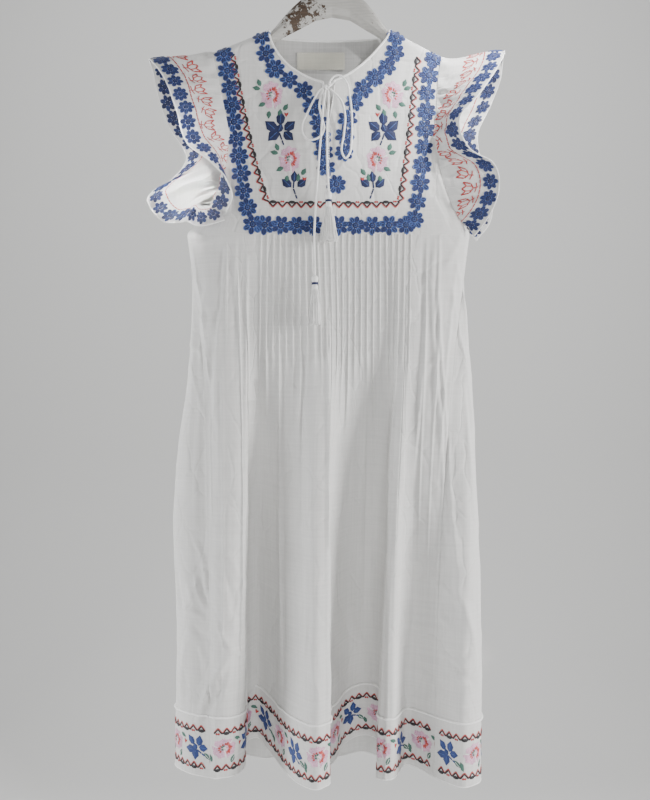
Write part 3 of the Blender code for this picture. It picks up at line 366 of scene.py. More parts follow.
def upper_normal(x, z, side, reach=1.5):
    """Outward direction of the upper body."""
    x, z = np.broadcast_arrays(np.asarray(x, float), np.asarray(z, float))
    top = shoulder_z(x)
    low = np.minimum(z - reach, top - reach)
    along = upper_point(x + reach, z, side) - upper_point(x - reach, z, side)
    up = upper_point(x, np.minimum(low + 2 * reach, top), side) - upper_point(x, low, side)
    along[..., 2] = 0
    out = np.cross(along, up)
    out = out / np.linalg.norm(out, axis=-1, keepdims=True)
    out = np.where(out[..., 1:2] * side < 0, -out, out)
    drop = np.clip((top - z) / 15.0, 0, 1)[..., None]
    rounded = np.concatenate([np.zeros_like(drop), side * drop, 1 - drop], axis=-1)
    rounded = rounded / np.linalg.norm(rounded, axis=-1, keepdims=True)
    mixed = rounded * (1 - drop) + out * drop
    return mixed / np.linalg.norm(mixed, axis=-1, keepdims=True)


class Skirt:
    """The skirt as one closed loop of fold lines, front and back in turn."""

    def __init__(self):
        self.count = len(FOLDS)
        xs = np.array([row[1:6] for row in FOLDS], float)
        ys = np.array([row[6:10] for row in FOLDS], float)
        side = np.where(np.arange(self.count) <= SEAM_RIGHT_ROW, -1.0, 1.0)
        top = np.array([
            float(body_y(x, YOKE_BOTTOM, s)) for x, s in zip(xs[:, 0], side)
        ])
        self.x = xs
        self.y = np.concatenate([top[:, None], ys], axis=1)
        self.lift = np.array([row.lift for row in FOLDS], float)
        knee = np.stack([self.x[:, 3], self.y[:, 3]], axis=1)
        chord = np.linalg.norm(np.roll(knee, -1, axis=0) - knee, axis=1)
        self.knots = np.concatenate([[0], np.cumsum(chord)])
        self.length = self.knots[-1]
        self.seam_right = self.knots[SEAM_RIGHT_ROW]
        self.line_at = dict(zip((row.name for row in FOLDS), self.knots))

    def lines(self, z):
        """Every fold line's x and y at one height."""
        heights = -np.array(FOLD_HEIGHTS)
        x = smooth(heights, self.x.T, -z)[0]
        y = smooth(heights, self.y.T, -z)[0]
        return x, y

    def points(self, u, z):
        """Points at the places u round the loop, at the height z of the unlifted cloth."""
        x, y = self.lines(z)
        values = np.stack([x, y, self.lift], axis=1)
        values = np.concatenate([values, values, values])
        step = np.linalg.norm(np.diff(values[:, :2], axis=0), axis=1)
        knots = np.concatenate([[0], np.cumsum(step)])
        rank = self.count + np.interp(np.mod(u, self.length), self.knots, np.arange(self.count + 1))
        at = smooth(knots, values, np.interp(rank, np.arange(len(knots)), knots))
        growth = ((YOKE_BOTTOM - z) / (YOKE_BOTTOM - HEM)) ** 2
        return np.stack([at[:, 0], at[:, 1], z + at[:, 2] * growth], axis=1)

    def normals(self, u, z, reach=1.5):
        u = np.asarray(u, float)
        along = self.points(u + reach, z) - self.points(u - reach, z)
        up = self.points(u, min(z + 3, YOKE_BOTTOM)) - self.points(u, max(z - 3, HEM))
        out = np.cross(along, up)
        return out / np.linalg.norm(out, axis=1, keepdims=True)

    def places(self, first, last, per_fold):
        """Columns between two seams, the same number in each fold, a little clear of each seam."""
        inside = []
        for i in range(first, last):
            share = np.linspace(0, 1, per_fold, endpoint=False)
            inside.extend(self.knots[i] + share * (self.knots[i + 1] - self.knots[i]))
        places = np.array(inside + [self.knots[last]])
        places[0] += SEAM_GAP
        places[-1] -= SEAM_GAP
        return places

    def u_at(self, x, z, first, last):
        """Places round the loop, between two fold lines, where the cloth crosses x."""
        u = np.linspace(self.knots[first], self.knots[last], 800)
        across = self.points(u, z)[:, 0]
        return np.interp(x, across, u)


def arc_places(points, count):
    """Evenly spaced points along a polyline."""
    points = np.asarray(points, float)
    length = np.concatenate([[0], np.cumsum(np.linalg.norm(np.diff(points, axis=0), axis=1))])
    return smooth(length, points, np.linspace(0, length[-1], count))


SKIRT = Skirt()

# Ridges (depth above zero) and troughs in the cloth, placed on the front view. A step
# above zero raises the cloth on the left of the line and sinks it on the right.
Crease = namedtuple("Crease", "x_start z_start x_end z_end bow width depth step", defaults=(0.0,))
FRONT_CREASES = tuple(Crease(*row) for row in (
    (-152, -436, -168, -700, 2, 5.0, 0.8, -2.6),
    (-168, -640, -160, -800, -3, 5.0, 1.2, -1.4),
    (-178, -480, -190, -640, 2, 4.0, 1.2, -2.0),
    (-186, -620, -196, -860, 2, 5.0, 1.4, -2.0),
    (-134, -440, -138, -640, 2, 4.0, -1.2, 1.2),
    (-118, -462, -121, -840, 0, 3.2, 1.0, 4.4),
    (-121, -740, -125, -1235, 0, 3.2, 1.2, 5.4),
    (-90, -598, -89, -740, 1, 2.6, 0.0, 2.8),
    (-71, -602, -72, -900, 0, 3.0, 0.6, 3.8),
    (-72, -810, -72, -1160, 0, 3.2, 0.4, 3.4),
    (-40, -598, -47, -770, 1, 2.6, 0.0, 3.2),
    (-47, -700, -46, -920, 0, 3.0, 0.0, 2.2),
    (-33, -890, -39, -1070, -2, 3.0, 0.0, 2.6),
    (-2, -540, -6, -880, 0, 2.8, 1.8, 4.6),
    (-5, -790, -4, -1235, 0, 3.0, 1.6, 4.4),
    (21, -598, 19, -730, 0, 2.6, 0.0, -2.6),
    (34, -600, 33, -800, 0, 4.0, 0.8, 0.8),
    (53, -598, 46, -900, 1, 3.0, 0.0, 3.4),
    (46, -820, 50, -1080, 2, 4.0, 0.0, 2.0),
    (89, -598, 78, -770, 0, 3.0, -0.6, -2.8),
    (80, -710, 70, -1235, -2, 3.4, 1.2, -5.2),
    (130, -530, 101, -840, -3, 4.0, 0.8, -3.8),
    (101, -780, 96, -1000, -2, 5.0, 0.4, -2.8),
    (146, -436, 141, -580, 2, 3.5, 2.2, 0.0),
    (141, -540, 156, -730, 2, 4.0, 2.2, 1.6),
    (152, -680, 168, -900, 2, 4.0, 1.8, 1.6),
    (168, -500, 192, -650, -2, 3.5, 1.4, 2.6),
    (186, -600, 198, -790, 0, 4.0, 1.2, 2.2),
    (128, -440, 124, -560, 1, 4.0, -1.4, 0.8),
    (-196, -862, -178, -944, -6, 3.4, 3.5, -1.8),
    (-196, -893, -142, -879, 3, 3.0, 3.0, 1.5),
    (-224, -900, -212, -972, 4, 3.0, -4.1, 2.1),
    (-216, -960, -176, -976, -4, 3.2, 3.5, 1.8),
    (-194, -912, -178, -962, 3, 3.4, 4.1, -2.4),
    (-205, -925, -192, -962, -2, 5.0, 3.2),
    (-160, -976, -124, -1026, 4, 3.0, 3.8, 1.8),
    (-140, -1014, -190, -1120, 5, 5.0, 5.1, -3.3),
    (-150, -1060, -176, -1102, -2, 2.6, -2.7),
    (-207, -1004, -214, -1104, 3, 2.8, 3.5, -1.8),
    (-212, -1090, -168, -1078, 3, 2.8, 3.2, 1.5),
    (-200, -980, -160, -1008, 3, 4.0, -2.2),
    (-150, -900, -136, -970, -3, 4.5, -2.2),
    (173, -830, 175, -950, 0, 5.5, 3.0, 1.4),
    (174, -925, 202, -1046, -4, 6.0, 3.4, 1.4),
    (160, -1024, 198, -1056, 3, 3.0, -3.0, 1.0),
    (172, -1030, 198, -1006, -2, 2.8, -2.0, 1.4),
    (140, -1010, 178, -1028, 3, 3.0, 2.0, 1.0),
    (132, -960, 170, -985, -4, 3.4, 1.8, 0.8),
    (100, -1082, 150, -1080, 8, 3.4, 2.4, -1.0),
    (118, -1040, 158, -1072, -4, 4.0, -2.0),
    (110, -880, 104, -1040, 3, 4.0, 1.4, -0.8),
    (-155, -448, -159, -560, 1, 3.0, -2.4, 1.6),
    (-158, -520, -178, -700, 3, 3.4, -2.8, 1.8),
    (-177, -640, -179, -880, -1, 4.0, -2.2, 1.2),
    (-135, -440, -133, -540, 1, 3.4, 2.2, 1.0),
    (-208, -584, -166, -606, 2, 3.0, 2.4, -1.2),
    (-200, -540, -168, -552, -3, 3.4, -1.8),
    (-205, -470, -176, -520, 4, 4.0, 2.2),
    (-196, -500, -170, -530, -3, 3.2, -1.8),
    (153, -430, 144, -560, -2, 3.0, 2.2, 1.6),
    (149, -500, 166, -760, 3, 3.0, 2.8, 1.8),
    (163, -720, 174, -900, 2, 3.4, 2.8, 1.8),
    (176, -470, 195, -590, -3, 2.6, 2.8, 1.4),
    (197, -440, 193, -530, 2, 2.6, -2.2, 1.0),
    (183, -580, 202, -730, -2, 2.8, 2.6, 1.2),
    (190, -700, 203, -860, 0, 3.4, 1.8, 1.0),
    (-186, -1000, -168, -1060, 3, 4.0, 1.6),
    (-30, -1000, -14, -1090, 3, 4.0, 1.4),
    (60, -880, 44, -1000, 4, 6.0, -1.6),
    (20, -940, 38, -1070, -4, 6.0, 1.4),
    (-160, -300, -138, -400, -5, 5.0, -1.8),
    (168, -390, 138, -330, 4, 5.0, 1.8),
    (172, -416, 136, -366, 5, 5.0, -1.7),
    (-182, -416, -138, -380, -4, 5.0, 1.6),
    (-196, -425, -160, -470, 3, 5.0, 1.5),
    (186, -425, 158, -480, -3, 5.0, 1.5),
))

# Sharp lines that follow the cloth down the skirt: the line of FOLDS each is measured from, how
# far round it is, where it runs from and to, its width, how far it stands out and its step.
SharpFold = namedtuple("SharpFold", "line off z_top z_bottom width depth step")
SHARP_FOLDS = tuple(SharpFold(*row) for row in (
    ("seam_left", 9, -440, -900, 1.6, 1.0, -1.4),
    ("left_side", -4, -470, -700, 2.0, 1.2, -1.0),
    ("left_side", 9, -600, -1100, 1.8, 0.8, 1.2),
    ("left_crest", 2, -436, -640, 1.8, 1.4, 0.8),
    ("left_lip", 1, -470, -1240, 1.8, 1.6, 1.2),
    ("left_edge", 0, -520, -1240, 1.6, 1.4, 2.2),
    ("right_lip", 2, -480, -900, 1.6, -0.3, -1.5),
    ("right_dip", 3, -436, -700, 1.8, -0.8, 1.0),
    ("right_mid", -8, -436, -900, 1.6, 1.2, 0.6),
    ("right_mid", 6, -520, -1000, 1.6, 0.5, -0.9),
    ("right_side", -8, -470, -760, 1.8, 1.3, 1.2),
    ("right_side", 7, -600, -1060, 1.8, 1.0, 1.4),
    ("seam_right", -7, -450, -800, 1.7, 1.2, -1.2),
))
BACK_CREASES = tuple(Crease(*row) for row in (
    (-110, -170, -60, -420, 8, 9.0, -1.6),
    (95, -180, 62, -430, -8, 9.0, 1.5),
    (-150, -440, -172, -760, 4, 6.0, 2.0),
    (-64, -520, -70, -900, 4, 6.0, -1.6),
    (-20, -470, -26, -820, -3, 6.0, 1.6),
    (30, -560, 34, -960, 3, 6.0, -1.7),
    (88, -480, 96, -840, 3, 6.0, 1.8),
    (150, -470, 176, -820, 4, 6.0, -1.6),
    (-190, -900, -150, -1010, 5, 4.0, 2.2),
    (-120, -960, -150, -1070, -4, 4.0, -1.7),
    (-60, -980, -30, -1080, 5, 4.0, 1.6),
    (40, -1000, 74, -1085, -4, 4.0, -1.6),
    (120, -930, 160, -1040, 5, 4.0, 2.1),
    (186, -960, 150, -1080, 4, 4.0, -1.6),
    (-30, -230, 60, -300, 10, 10.0, 1.0),
))
YOKE_CREASES = tuple(Crease(*row) for row in (
    (-150, -200, -128, -330, 3, 6.0, -0.7),
    (-60, -240, -66, -400, -3, 7.0, 0.6),
    (62, -230, 58, -390, 3, 7.0, -0.6),
    (132, -190, 124, -360, -3, 6.0, 0.7),
    (-110, -160, -96, -240, 3, 6.0, 0.6),
    (110, -170, 92, -250, -3, 6.0, -0.6),
    (-30, -380, 40, -372, 2, 6.0, 0.4),
))


def crease_shift(x, z, table):
    """How far hand-placed creases move the cloth at each place."""
    total = np.zeros(np.shape(x))
    for row in table:
        run, rise = row.x_end - row.x_start, row.z_end - row.z_start
        length = math.hypot(run, rise)
        along = ((x - row.x_start) * run + (z - row.z_start) * rise) / length**2
        fade = np.sin(np.pi * np.clip(along, 0, 1))
        across = ((x - row.x_start) * rise - (z - row.z_start) * run) / length
        off = (across - row.bow * fade) / row.width
        total += (row.depth + row.step * off) * fade**0.5 * np.exp(-(off**2))
    return total


def scattered(patches):
    """Short small creases at seeded places, as in cloth that was folded and washed."""
    found = []
    for seed, count, x_low, x_high, z_low, z_high in patches:
        rng = np.random.default_rng(seed)
        for _ in range(count):
            x, z = rng.uniform(x_low, x_high), rng.uniform(z_low, z_high)
            angle, reach = rng.uniform(-1.1, 1.1), rng.uniform(14, 46)
            run, rise = math.sin(angle) * reach, math.cos(angle) * reach
            found.append(Crease(
                x - run, z + rise, x + run, z - rise, rng.uniform(-4, 4), rng.uniform(2.2, 4.2),
                rng.uniform(-1.1, 1.3), rng.uniform(-1.2, 1.2),
            ))
    return tuple(found)


def ripple(a, b, seed):
    """Smooth random waves from -1 to 1, one to a unit of length both ways."""
    lattice = np.random.default_rng(seed).uniform(-1, 1, (64, 64))
    a, b = np.broadcast_arrays(np.asarray(a, float), np.asarray(b, float))
    i, j = np.floor(a).astype(int), np.floor(b).astype(int)
    p, q = a - i, b - j
    p, q = p * p * (3 - 2 * p), q * q * (3 - 2 * q)
    low = lattice[i % 64, j % 64] * (1 - p) + lattice[(i + 1) % 64, j % 64] * p
    high = lattice[i % 64, (j + 1) % 64] * (1 - p) + lattice[(i + 1) % 64, (j + 1) % 64] * p
    return low * (1 - q) + high * q


# Patches of small creases: seed, count, and the least and greatest x and z.
FRONT_CREASES += scattered((
    (3, 26, -196, -125, -1090, -800), (4, 26, 90, 170, -1090, -800), (5, 14, -190, -130, -800, -450),
    (6, 14, 110, 185, -800, -450), (7, 16, -110, 80, -1100, -700),
))
BACK_CREASES += scattered(((8, 60, -205, 200, -1100, -460), (9, 12, -130, 120, -420, -180)))


def crumple(a, b, seed):
    """The slight unevenness of washed cotton."""
    wide = ripple(a / 31 + b / 90, b / 44, seed) * 0.7
    narrow = ripple(a / 13, b / 19 + a / 60, seed + 1) * 0.35
    return wide + narrow


def at_grid(grid, row, col):
    """Values of a grid read between its rows and columns."""
    row = np.clip(row, 0, grid.shape[0] - 1.001)
    col = np.clip(col, 0, grid.shape[1] - 1.001)
    i, j = row.astype(int), col.astype(int)
    down, over = (row - i)[:, None], (col - j)[:, None]
    above = grid[i, j] * (1 - over) + grid[i, j + 1] * over
    below = grid[i + 1, j] * (1 - over) + grid[i + 1, j + 1] * over
    return above * (1 - down) + below * down


def ease_in(distance, reach):
    """From 0 at an edge to 1 at a distance from it."""
    return np.clip(distance / reach, 0, 1)


def unit(vectors):
    return vectors / np.maximum(np.linalg.norm(vectors, axis=-1, keepdims=True), 1e-9)


def lengths(points):
    """Distance along a line of points."""
    step = np.linalg.norm(np.diff(points, axis=0), axis=1)
    return np.concatenate([[0], np.cumsum(step)])


def placed(name, data):
    made = bpy.data.objects.new(name, data)
    bpy.context.scene.collection.objects.link(made)
    return made


def new_object(name, data, looks):
    made = placed(name, data)
    for look in looks:
        data.materials.append(look)
    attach(made, "root")
    return made


def stands_for(made, node_name):
    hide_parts(node_name)
    return made


def keep_flat(mesh, flat):
    """Keeps each point's place on the flat cloth, in metres, for the weave."""
    layer = mesh.uv_layers.new(name="cloth")
    corner = np.empty(len(mesh.loops), np.int32)
    mesh.loops.foreach_get("vertex_index", corner)
    layer.data.foreach_set("uv", (flat * MM)[corner].astype(np.float32).ravel())


class Cloth:
    """A thin sheet: rows of points with faces between them, closed at its free edges."""

    def __init__(self):
        self.points = []
        self.normals = []
        self.flat = []
        self.quads = []
        self.triangles = []
        self.count = 0
        self.last = None

    def row(self, points, normals, flat):
        start = self.count
        self.points.append(points)
        self.normals.append(normals)
        self.flat.append(flat)
        self.count += len(points)
        return np.arange(start, self.count)

    def strip(self, above, below):
        self.quads.append(np.stack([above[:-1], below[:-1], below[1:], above[1:]], axis=1))

    def level(self, points, normals, flat):
        """Adds a row and joins it to the one before it."""
        row = self.row(points, normals, flat)
        if self.last is not None:
            self.strip(self.last, row)
        self.last = row
        return row

    def zip(self, above, below, above_at, below_at):
        """Triangles between rows of unlike length, matched by their places."""
        i, j = 0, 0
        found = []
        while i < len(above) - 1 or j < len(below) - 1:
            next_above = above_at[i + 1] if i < len(above) - 1 else math.inf
            next_below = below_at[j + 1] if j < len(below) - 1 else math.inf
            if next_above <= next_below:
                found.append((above[i], below[j], above[i + 1]))
                i += 1
            else:
                found.append((above[i], below[j], below[j + 1]))
                j += 1
        self.triangles.append(np.array(found))

    def solid(self, name, thickness, look):
        outer = np.concatenate(self.points)
        inner = outer - np.concatenate(self.normals) * thickness
        flat = np.concatenate(self.flat)
        faces = [tuple(face) for group in self.quads + self.triangles for face in group.tolist()]
        edges = np.array([
            (a, b) for face in faces for a, b in zip(face, face[1:] + face[:1])
        ])
        forward = edges[:, 0] * self.count + edges[:, 1]
        backward = edges[:, 1] * self.count + edges[:, 0]
        rim = edges[~np.isin(forward, backward)]
        whole = faces + [tuple(i + self.count for i in reversed(face)) for face in faces]
        whole += [(b, a, a + self.count, b + self.count) for a, b in rim.tolist()]
        mesh = bpy.data.meshes.new(name)
        mesh.from_pydata((np.concatenate([outer, inner]) * MM).tolist(), [], whole)
        keep_flat(mesh, np.concatenate([flat, flat]))
        mesh.shade_smooth()
        mesh.set_sharp_from_angle(angle=math.radians(60))
        return new_object(name, mesh, [look])


def tube_mesh(name, path, radius, looks, sides=8, closed=False):
    """A round tube along points, its radius one number or one for each point."""
    path = np.asarray(path, float)
    radius = np.broadcast_to(np.asarray(radius, float), (len(path),))
    if closed:
        ahead = unit(np.roll(path, -1, axis=0) - np.roll(path, 1, axis=0))
    else:
        ahead = unit(np.gradient(path, axis=0))
    side = np.cross(ahead[0], [0.3, 0.5, 0.81])
    turns = np.linspace(0, 2 * math.pi, sides, endpoint=False)
    rings = []
    for place, way, wide in zip(path, ahead, radius):
        side = unit(side - way * np.dot(side, way))
        other = np.cross(way, side)
        rings.append(place + wide * (np.outer(np.cos(turns), side) + np.outer(np.sin(turns), other)))
    count = len(path)
    faces = []
    for i in range(count if closed else count - 1):
        j = (i + 1) % count
        for k in range(sides):
            m = (k + 1) % sides
            faces.append((i * sides + k, i * sides + m, j * sides + m, j * sides + k))
    if not closed:
        faces.append(tuple(range(sides))[::-1])
        faces.append(tuple((count - 1) * sides + k for k in range(sides)))
    mesh = bpy.data.meshes.new(name)
    mesh.from_pydata((np.concatenate(rings) * MM).tolist(), [], faces)
    mesh.shade_smooth()
    return new_object(name, mesh, looks)


def yoke_at(x, z):
    """The yoke's surface and its outward direction at places on the front view."""
    x, z = np.broadcast_arrays(np.asarray(x, float), np.asarray(z, float))
    point = upper_point(x, z, -1)
    normal = upper_normal(x, z, -1)
    middle = (column(YOKE_SIDE, "x_left", z.ravel()) + column(YOKE_SIDE, "x_right", z.ravel())) / 2
    inset = 128 - np.abs(x - middle.reshape(x.shape))
    fade = ease_in(z - YOKE_BOTTOM, 14) * ease_in(shoulder_z(x) - z, 20) * ease_in(inset, 12)
    shift = crease_shift(x, z, YOKE_CREASES) + YOKE_CRUMPLE * crumple(x, z, YOKE_SEED)
    return point + normal * (shift * fade)[..., None], normal


def front_shift(x, z, u):
    """Creases of the front panel and band at their places on the front view."""
    seams = ease_in(u, SEAM_FADE) * ease_in(SKIRT.seam_right - u, SEAM_FADE)
    inside = ease_in(x + 124, 12) * ease_in(130 - x, 12)
    top = 1 - inside * (1 - ease_in(YOKE_BOTTOM - z, 14))
    growth = np.clip((-470 - z) / 240, LEAST_CRUMPLE, 1)
    shift = crease_shift(x, z, FRONT_CREASES) + CRUMPLE * crumple(x, z, FRONT_SEED) * growth
    return (shift + sharp_shift(u, z[0])) * seams * top


def back_shift(x, z, u):
    """Creases of the back: its own, and the front's where the side folds show in front."""
    seams = ease_in(u - SKIRT.seam_right, SEAM_FADE) * ease_in(SKIRT.length - u, SEAM_FADE)
    left, right = SKIRT.line_at["left_outline"], SKIRT.line_at["right_outline"]
    seen = ease_in(u - left, 12) + ease_in(right - u, 12)
    shift = crease_shift(x, z, BACK_CREASES) * (1 - seen)
    shift = shift + crease_shift(x, z, FRONT_CREASES) * seen
    return (shift + CRUMPLE * crumple(x, z, BACK_SEED)) * seams


def skirt_row(u, z, shift):
    """One level of the skirt with its creases: points, outward directions and flat places."""
    points = SKIRT.points(u, z)
    normals = SKIRT.normals(u, z)
    moved = points + normals * shift(points[:, 0], points[:, 2], u)[:, None]
    return moved, normals, np.stack([u, np.full(len(u), float(z))], axis=1)


def front_top(u):
    """How far the skirt's top row moves to meet the upper body exactly."""
    points = SKIRT.points(u, YOKE_BOTTOM)
    return body_y(points[:, 0], points[:, 2], -1) - points[:, 1]


def front_yoke(look, thickness):
    """The bib: both halves from the shoulders down, joined below the slit."""
    cloth = Cloth()
    levels = np.concatenate([np.linspace(0, 0.06, 9)[:-1], np.linspace(0.06, 1, 76)])
    halves = []
    for side in (-1, 1):
        outer_x = SHOULDER_END[0] if side < 0 else SHOULDER_END[1]
        neck = NECK_LEFT if side < 0 else NECK_RIGHT[::-1]
        curve = arc_places(neck, 34)
        xs = np.concatenate([np.linspace(outer_x, neck[0][0], 20)[:19], curve[:, 0]])
        zs = np.concatenate([shoulder_z(xs[:19]), curve[:, 1]])
        share = (xs - outer_x) / (neck[-1][0] - outer_x)
        rows = []
        for level in levels:
            z = zs + (YOKE_BOTTOM - zs) * level
            bend = column(YOKE_SIDE, "x_left" if side < 0 else "x_right", z)
            middle = SLIT_X + side * np.interp(z, SLIT_HEIGHTS, SLIT_HALF_WIDTHS)
            x = bend + (middle - bend) * share
            x = xs + (x - xs) * min(1.0, level / 0.03)
            points, normals = yoke_at(x, z)
            order = slice(None) if side < 0 else slice(None, None, -1)
            flat = np.stack([x, z], axis=1)
            rows.append((cloth.row(points[order], normals[order], flat[order]), z[-1]))
        halves.append(rows)
    for i in range(len(levels) - 1):
        (left, z), (right, _) = halves[0][i], halves[1][i]
        below_left, below_right = halves[0][i + 1][0], halves[1][i + 1][0]
        cloth.strip(left, below_left)
        cloth.strip(right, below_right)
        if z < SLIT_END:
            cloth.strip(
                np.array([left[-1], right[0]]),
                np.array([below_left[-1], below_right[0]]),
            )
    return cloth.solid("front_yoke_cloth", thickness, look)


def tuck_profile(height):
    """Places across the tucks, how far each stands out and which tuck it is on."""
    across, rise, number = [], [], []
    for i in range(TUCKS):
        for step, share in TUCK_STEPS:
            across.append(TUCK_FIRST + i * TUCK_PITCH + step)
            rise.append(share * height)
            number.append(i)
    return np.array(across), np.array(rise), np.array(number)


def fold_place(row):
    return SKIRT.line_at[row.line] + row.off


def sharp_shift(u, z):
    """How far the sharp lines of the front move the skirt's cloth."""
    total = np.zeros(len(u))
    for row in SHARP_FOLDS:
        fade = np.clip((row.z_top - z) / 50, 0, 1) * np.clip((z - row.z_bottom) / 120, 0, 1)
        off = (u - fold_place(row)) / row.width
        total += (row.depth + row.step * off) * fade * np.exp(-(off**2))
    return total


def with_lines(shares, first, last):
    """Adds columns at the sharp lines between two places, so each line is crisp."""
    extra = [
        (fold_place(row) + step * row.width - first) / (last - first)
        for row in SHARP_FOLDS for step in (-1.7, -1.0, -0.4, 0.4, 1.0, 1.7)
    ]
    extra = [share for share in extra if 0.02 < share < 0.98]
    return np.unique(np.concatenate([shares, extra]))


def front_panel(look, thickness, tuck_height):
    """The tucked panel below the yoke, with its wedges up to the armholes."""
    cloth = Cloth()
    ends = []
    for side in (-1, 1):
        key = "x_left" if side < 0 else "x_right"
        low_inner = float(column(YOKE_SIDE, key, [YOKE_BOTTOM])[0]) + side * SEAM_DIP
        lines = (0, 6) if side < 0 else (19, SEAM_RIGHT_ROW)
        inner_u = SKIRT.u_at(np.array([low_inner]), YOKE_BOTTOM, *lines)[0]
        outer_u = SEAM_GAP if side < 0 else SKIRT.seam_right - SEAM_GAP
        shares = with_lines(np.linspace(0, 1, 34), outer_u, inner_u)
        if side > 0:
            shares = shares[::-1]
        cloth.last = None
        for z in np.linspace(WEDGE_TOP, YOKE_BOTTOM, 38):
            inner_x = float(column(YOKE_SIDE, key, [z])[0]) + side * SEAM_DIP
            outer_x = float(column(ARMHOLE_FRONT, key, [max(z, UNDERARM)])[0])
            if z == YOKE_BOTTOM:
                u = outer_u + (inner_u - outer_u) * shares
                points, normals, flat = skirt_row(u, z, front_shift)
                points[:, 1] += front_top(u)
            else:
                across = outer_x + (inner_x - outer_x) * shares
                levels = np.full(len(across), z)
                points = upper_point(across, levels, -1)
                normals = upper_normal(across, levels, -1)
                flat = np.stack([outer_u + (inner_u - outer_u) * shares, levels], axis=1)
                edge = ease_in(np.abs(across - inner_x), 8) * ease_in(np.abs(across - outer_x), 6)
                uneven = CRUMPLE * LEAST_CRUMPLE * crumple(across, levels, FRONT_SEED)
                bulge = crease_shift(across, levels, FRONT_CREASES) + uneven
                points = points + normals * (bulge * edge)[:, None]
            row = cloth.level(points, normals, flat)
        ends.append((u, row))
    (left_u, left_row), (right_u, right_row) = ends
    across, rise, number = tuck_profile(tuck_height)
    plain_u = SKIRT.u_at(across, YOKE_BOTTOM, 0, SEAM_RIGHT_ROW)
    first, last = plain_u[0], plain_u[-1]
    tuck_u = first + (last - first) * with_lines((plain_u - first) / (last - first), first, last)
    rise, number = np.interp(tuck_u, plain_u, rise), np.interp(tuck_u, plain_u, number)
    whole_u = np.concatenate([left_u, tuck_u, right_u])
    rise = np.concatenate([np.zeros(len(left_u)), rise, np.zeros(len(right_u))])
    number = np.concatenate([np.zeros(len(left_u)), number, np.zeros(len(right_u))])
    opens = TUCK_END - 3 * np.sin(number * 1.9)
    fall = 13 + 24 * np.sin(number * 2.7 + 1) ** 2
    for tuck, reach in LONG_PLEATS:
        fall = np.where(np.abs(number - tuck) < 0.5, reach, fall)
    settle = front_top(whole_u)
    # The panel sets out below the yoke at the slope that the upper body has there.
    start = SKIRT.points(whole_u, YOKE_BOTTOM)
    above = body_y(start[:, 0], start[:, 2] + 4, -1) - body_y(start[:, 0], start[:, 2], -1)
    below = start[:, 1] - SKIRT.points(whole_u, YOKE_BOTTOM - 4)[:, 1]
    from_seams = np.minimum(whole_u, SKIRT.seam_right - whole_u)
    lean = (above - below) / 4 * ease_in(from_seams, 25)
    for z in np.concatenate([[YOKE_BOTTOM], np.linspace(-437, BAND_SEAM, 122)]):
        points, normals, flat = skirt_row(whole_u, z, front_shift)
        hold = np.exp(-(np.maximum(opens - z, 0) / fall) ** 1.2)
        points = points + normals * (rise * hold)[:, None]
        drop = YOKE_BOTTOM - z
        points[:, 1] += (settle - lean * drop) * math.exp(-((drop / 32) ** 2))
        if z == YOKE_BOTTOM:
            middle = slice(len(left_u), len(left_u) + len(tuck_u))
            tucks = cloth.row(points[middle], normals[middle], flat[middle])
            cloth.last = np.concatenate([left_row, tucks, right_row])
        else:
            cloth.level(points, normals, flat)
    return cloth.solid("front_panel_cloth", thickness, look)


def back_panel(look, facing, thickness):
    """The plain back from the shoulders and back neck to the band, with painted shade inside the back
    neck.
    """
    cloth = Cloth()
    neck_x = (NECK_LEFT[0][0], NECK_RIGHT[-1][0])
    top_x = np.concatenate([
        np.linspace(SHOULDER_END[0], neck_x[0], 18)[:-1],
        np.linspace(neck_x[0], neck_x[1], 46),
        np.linspace(neck_x[1], SHOULDER_END[1], 18)[1:],
    ])
    share = (top_x - SHOULDER_END[0]) / (SHOULDER_END[1] - SHOULDER_END[0])
    in_neck = (top_x > neck_x[0]) & (top_x < neck_x[1])
    neck = np.clip((top_x - neck_x[0]) / (neck_x[1] - neck_x[0]), 0, 1)
    neck_z = NECK_END - BACK_NECK_DROP * np.sin(np.pi * neck) ** 0.5
    top_z = np.where(in_neck, neck_z, shoulder_z(top_x))
    u = SKIRT.places(SEAM_RIGHT_ROW, SKIRT.count, 9)
    start = SKIRT.points(u, YOKE_BOTTOM)[:, 0]
    order = np.argsort(start)
    rows = []
    for level in np.concatenate([np.linspace(0, 0.06, 9)[:-1], np.linspace(0.06, 0.985, 56)]):
        z = top_z + (UNDERARM - top_z) * level
        left = column(ARMHOLE_BACK, "x_left", z)
        right = column(ARMHOLE_BACK, "x_right", z)
        x = left + (right - left) * share
        x = top_x + (x - top_x) * min(1.0, level / 0.03)
        normals = upper_normal(x, z, 1)
        shift = crease_shift(x, z, BACK_CREASES) + CRUMPLE * crumple(x, z, BACK_SEED)
        shift *= ease_in(x - left, 12) * ease_in(right - x, 12) * np.clip(level * 8, 0, 1)
        points = upper_point(x, z, 1) + normals * shift[:, None]
        flat = np.stack([np.interp(x, start[order], u[order]), z], axis=1)
        rows.append(cloth.row(points[::-1], normals[::-1], flat[::-1]))
    for z in np.linspace(YOKE_BOTTOM, BAND_SEAM, 150):
        row = cloth.level(*skirt_row(u, z, back_shift))
        if z == YOKE_BOTTOM:
            upper = cloth.points[-2]
            at = np.interp(upper[:, 0], start[order], u[order])
            at[0], at[-1] = u[0], u[-1]
            cloth.zip(rows[-1], row, np.maximum.accumulate(at), u)
    for above, below in zip(rows, rows[1:]):
        cloth.strip(above, below)
    made = cloth.solid("back_panel_cloth", thickness, look)
    # Inner faces near the back neck take a darker cotton: painted shade inside the dress.
    made.data.materials.append(facing)
    for face in made.data.polygons:
        x, _, z = face.center / MM
        in_painted_shade = z > INSIDE_SHADE_FOOT - INSIDE_SHADE_CURVE * (x + 3) ** 2 and z > YOKE_BOTTOM + 90
        face.material_index = int(face.normal.y < 0 and in_painted_shade)
    return made


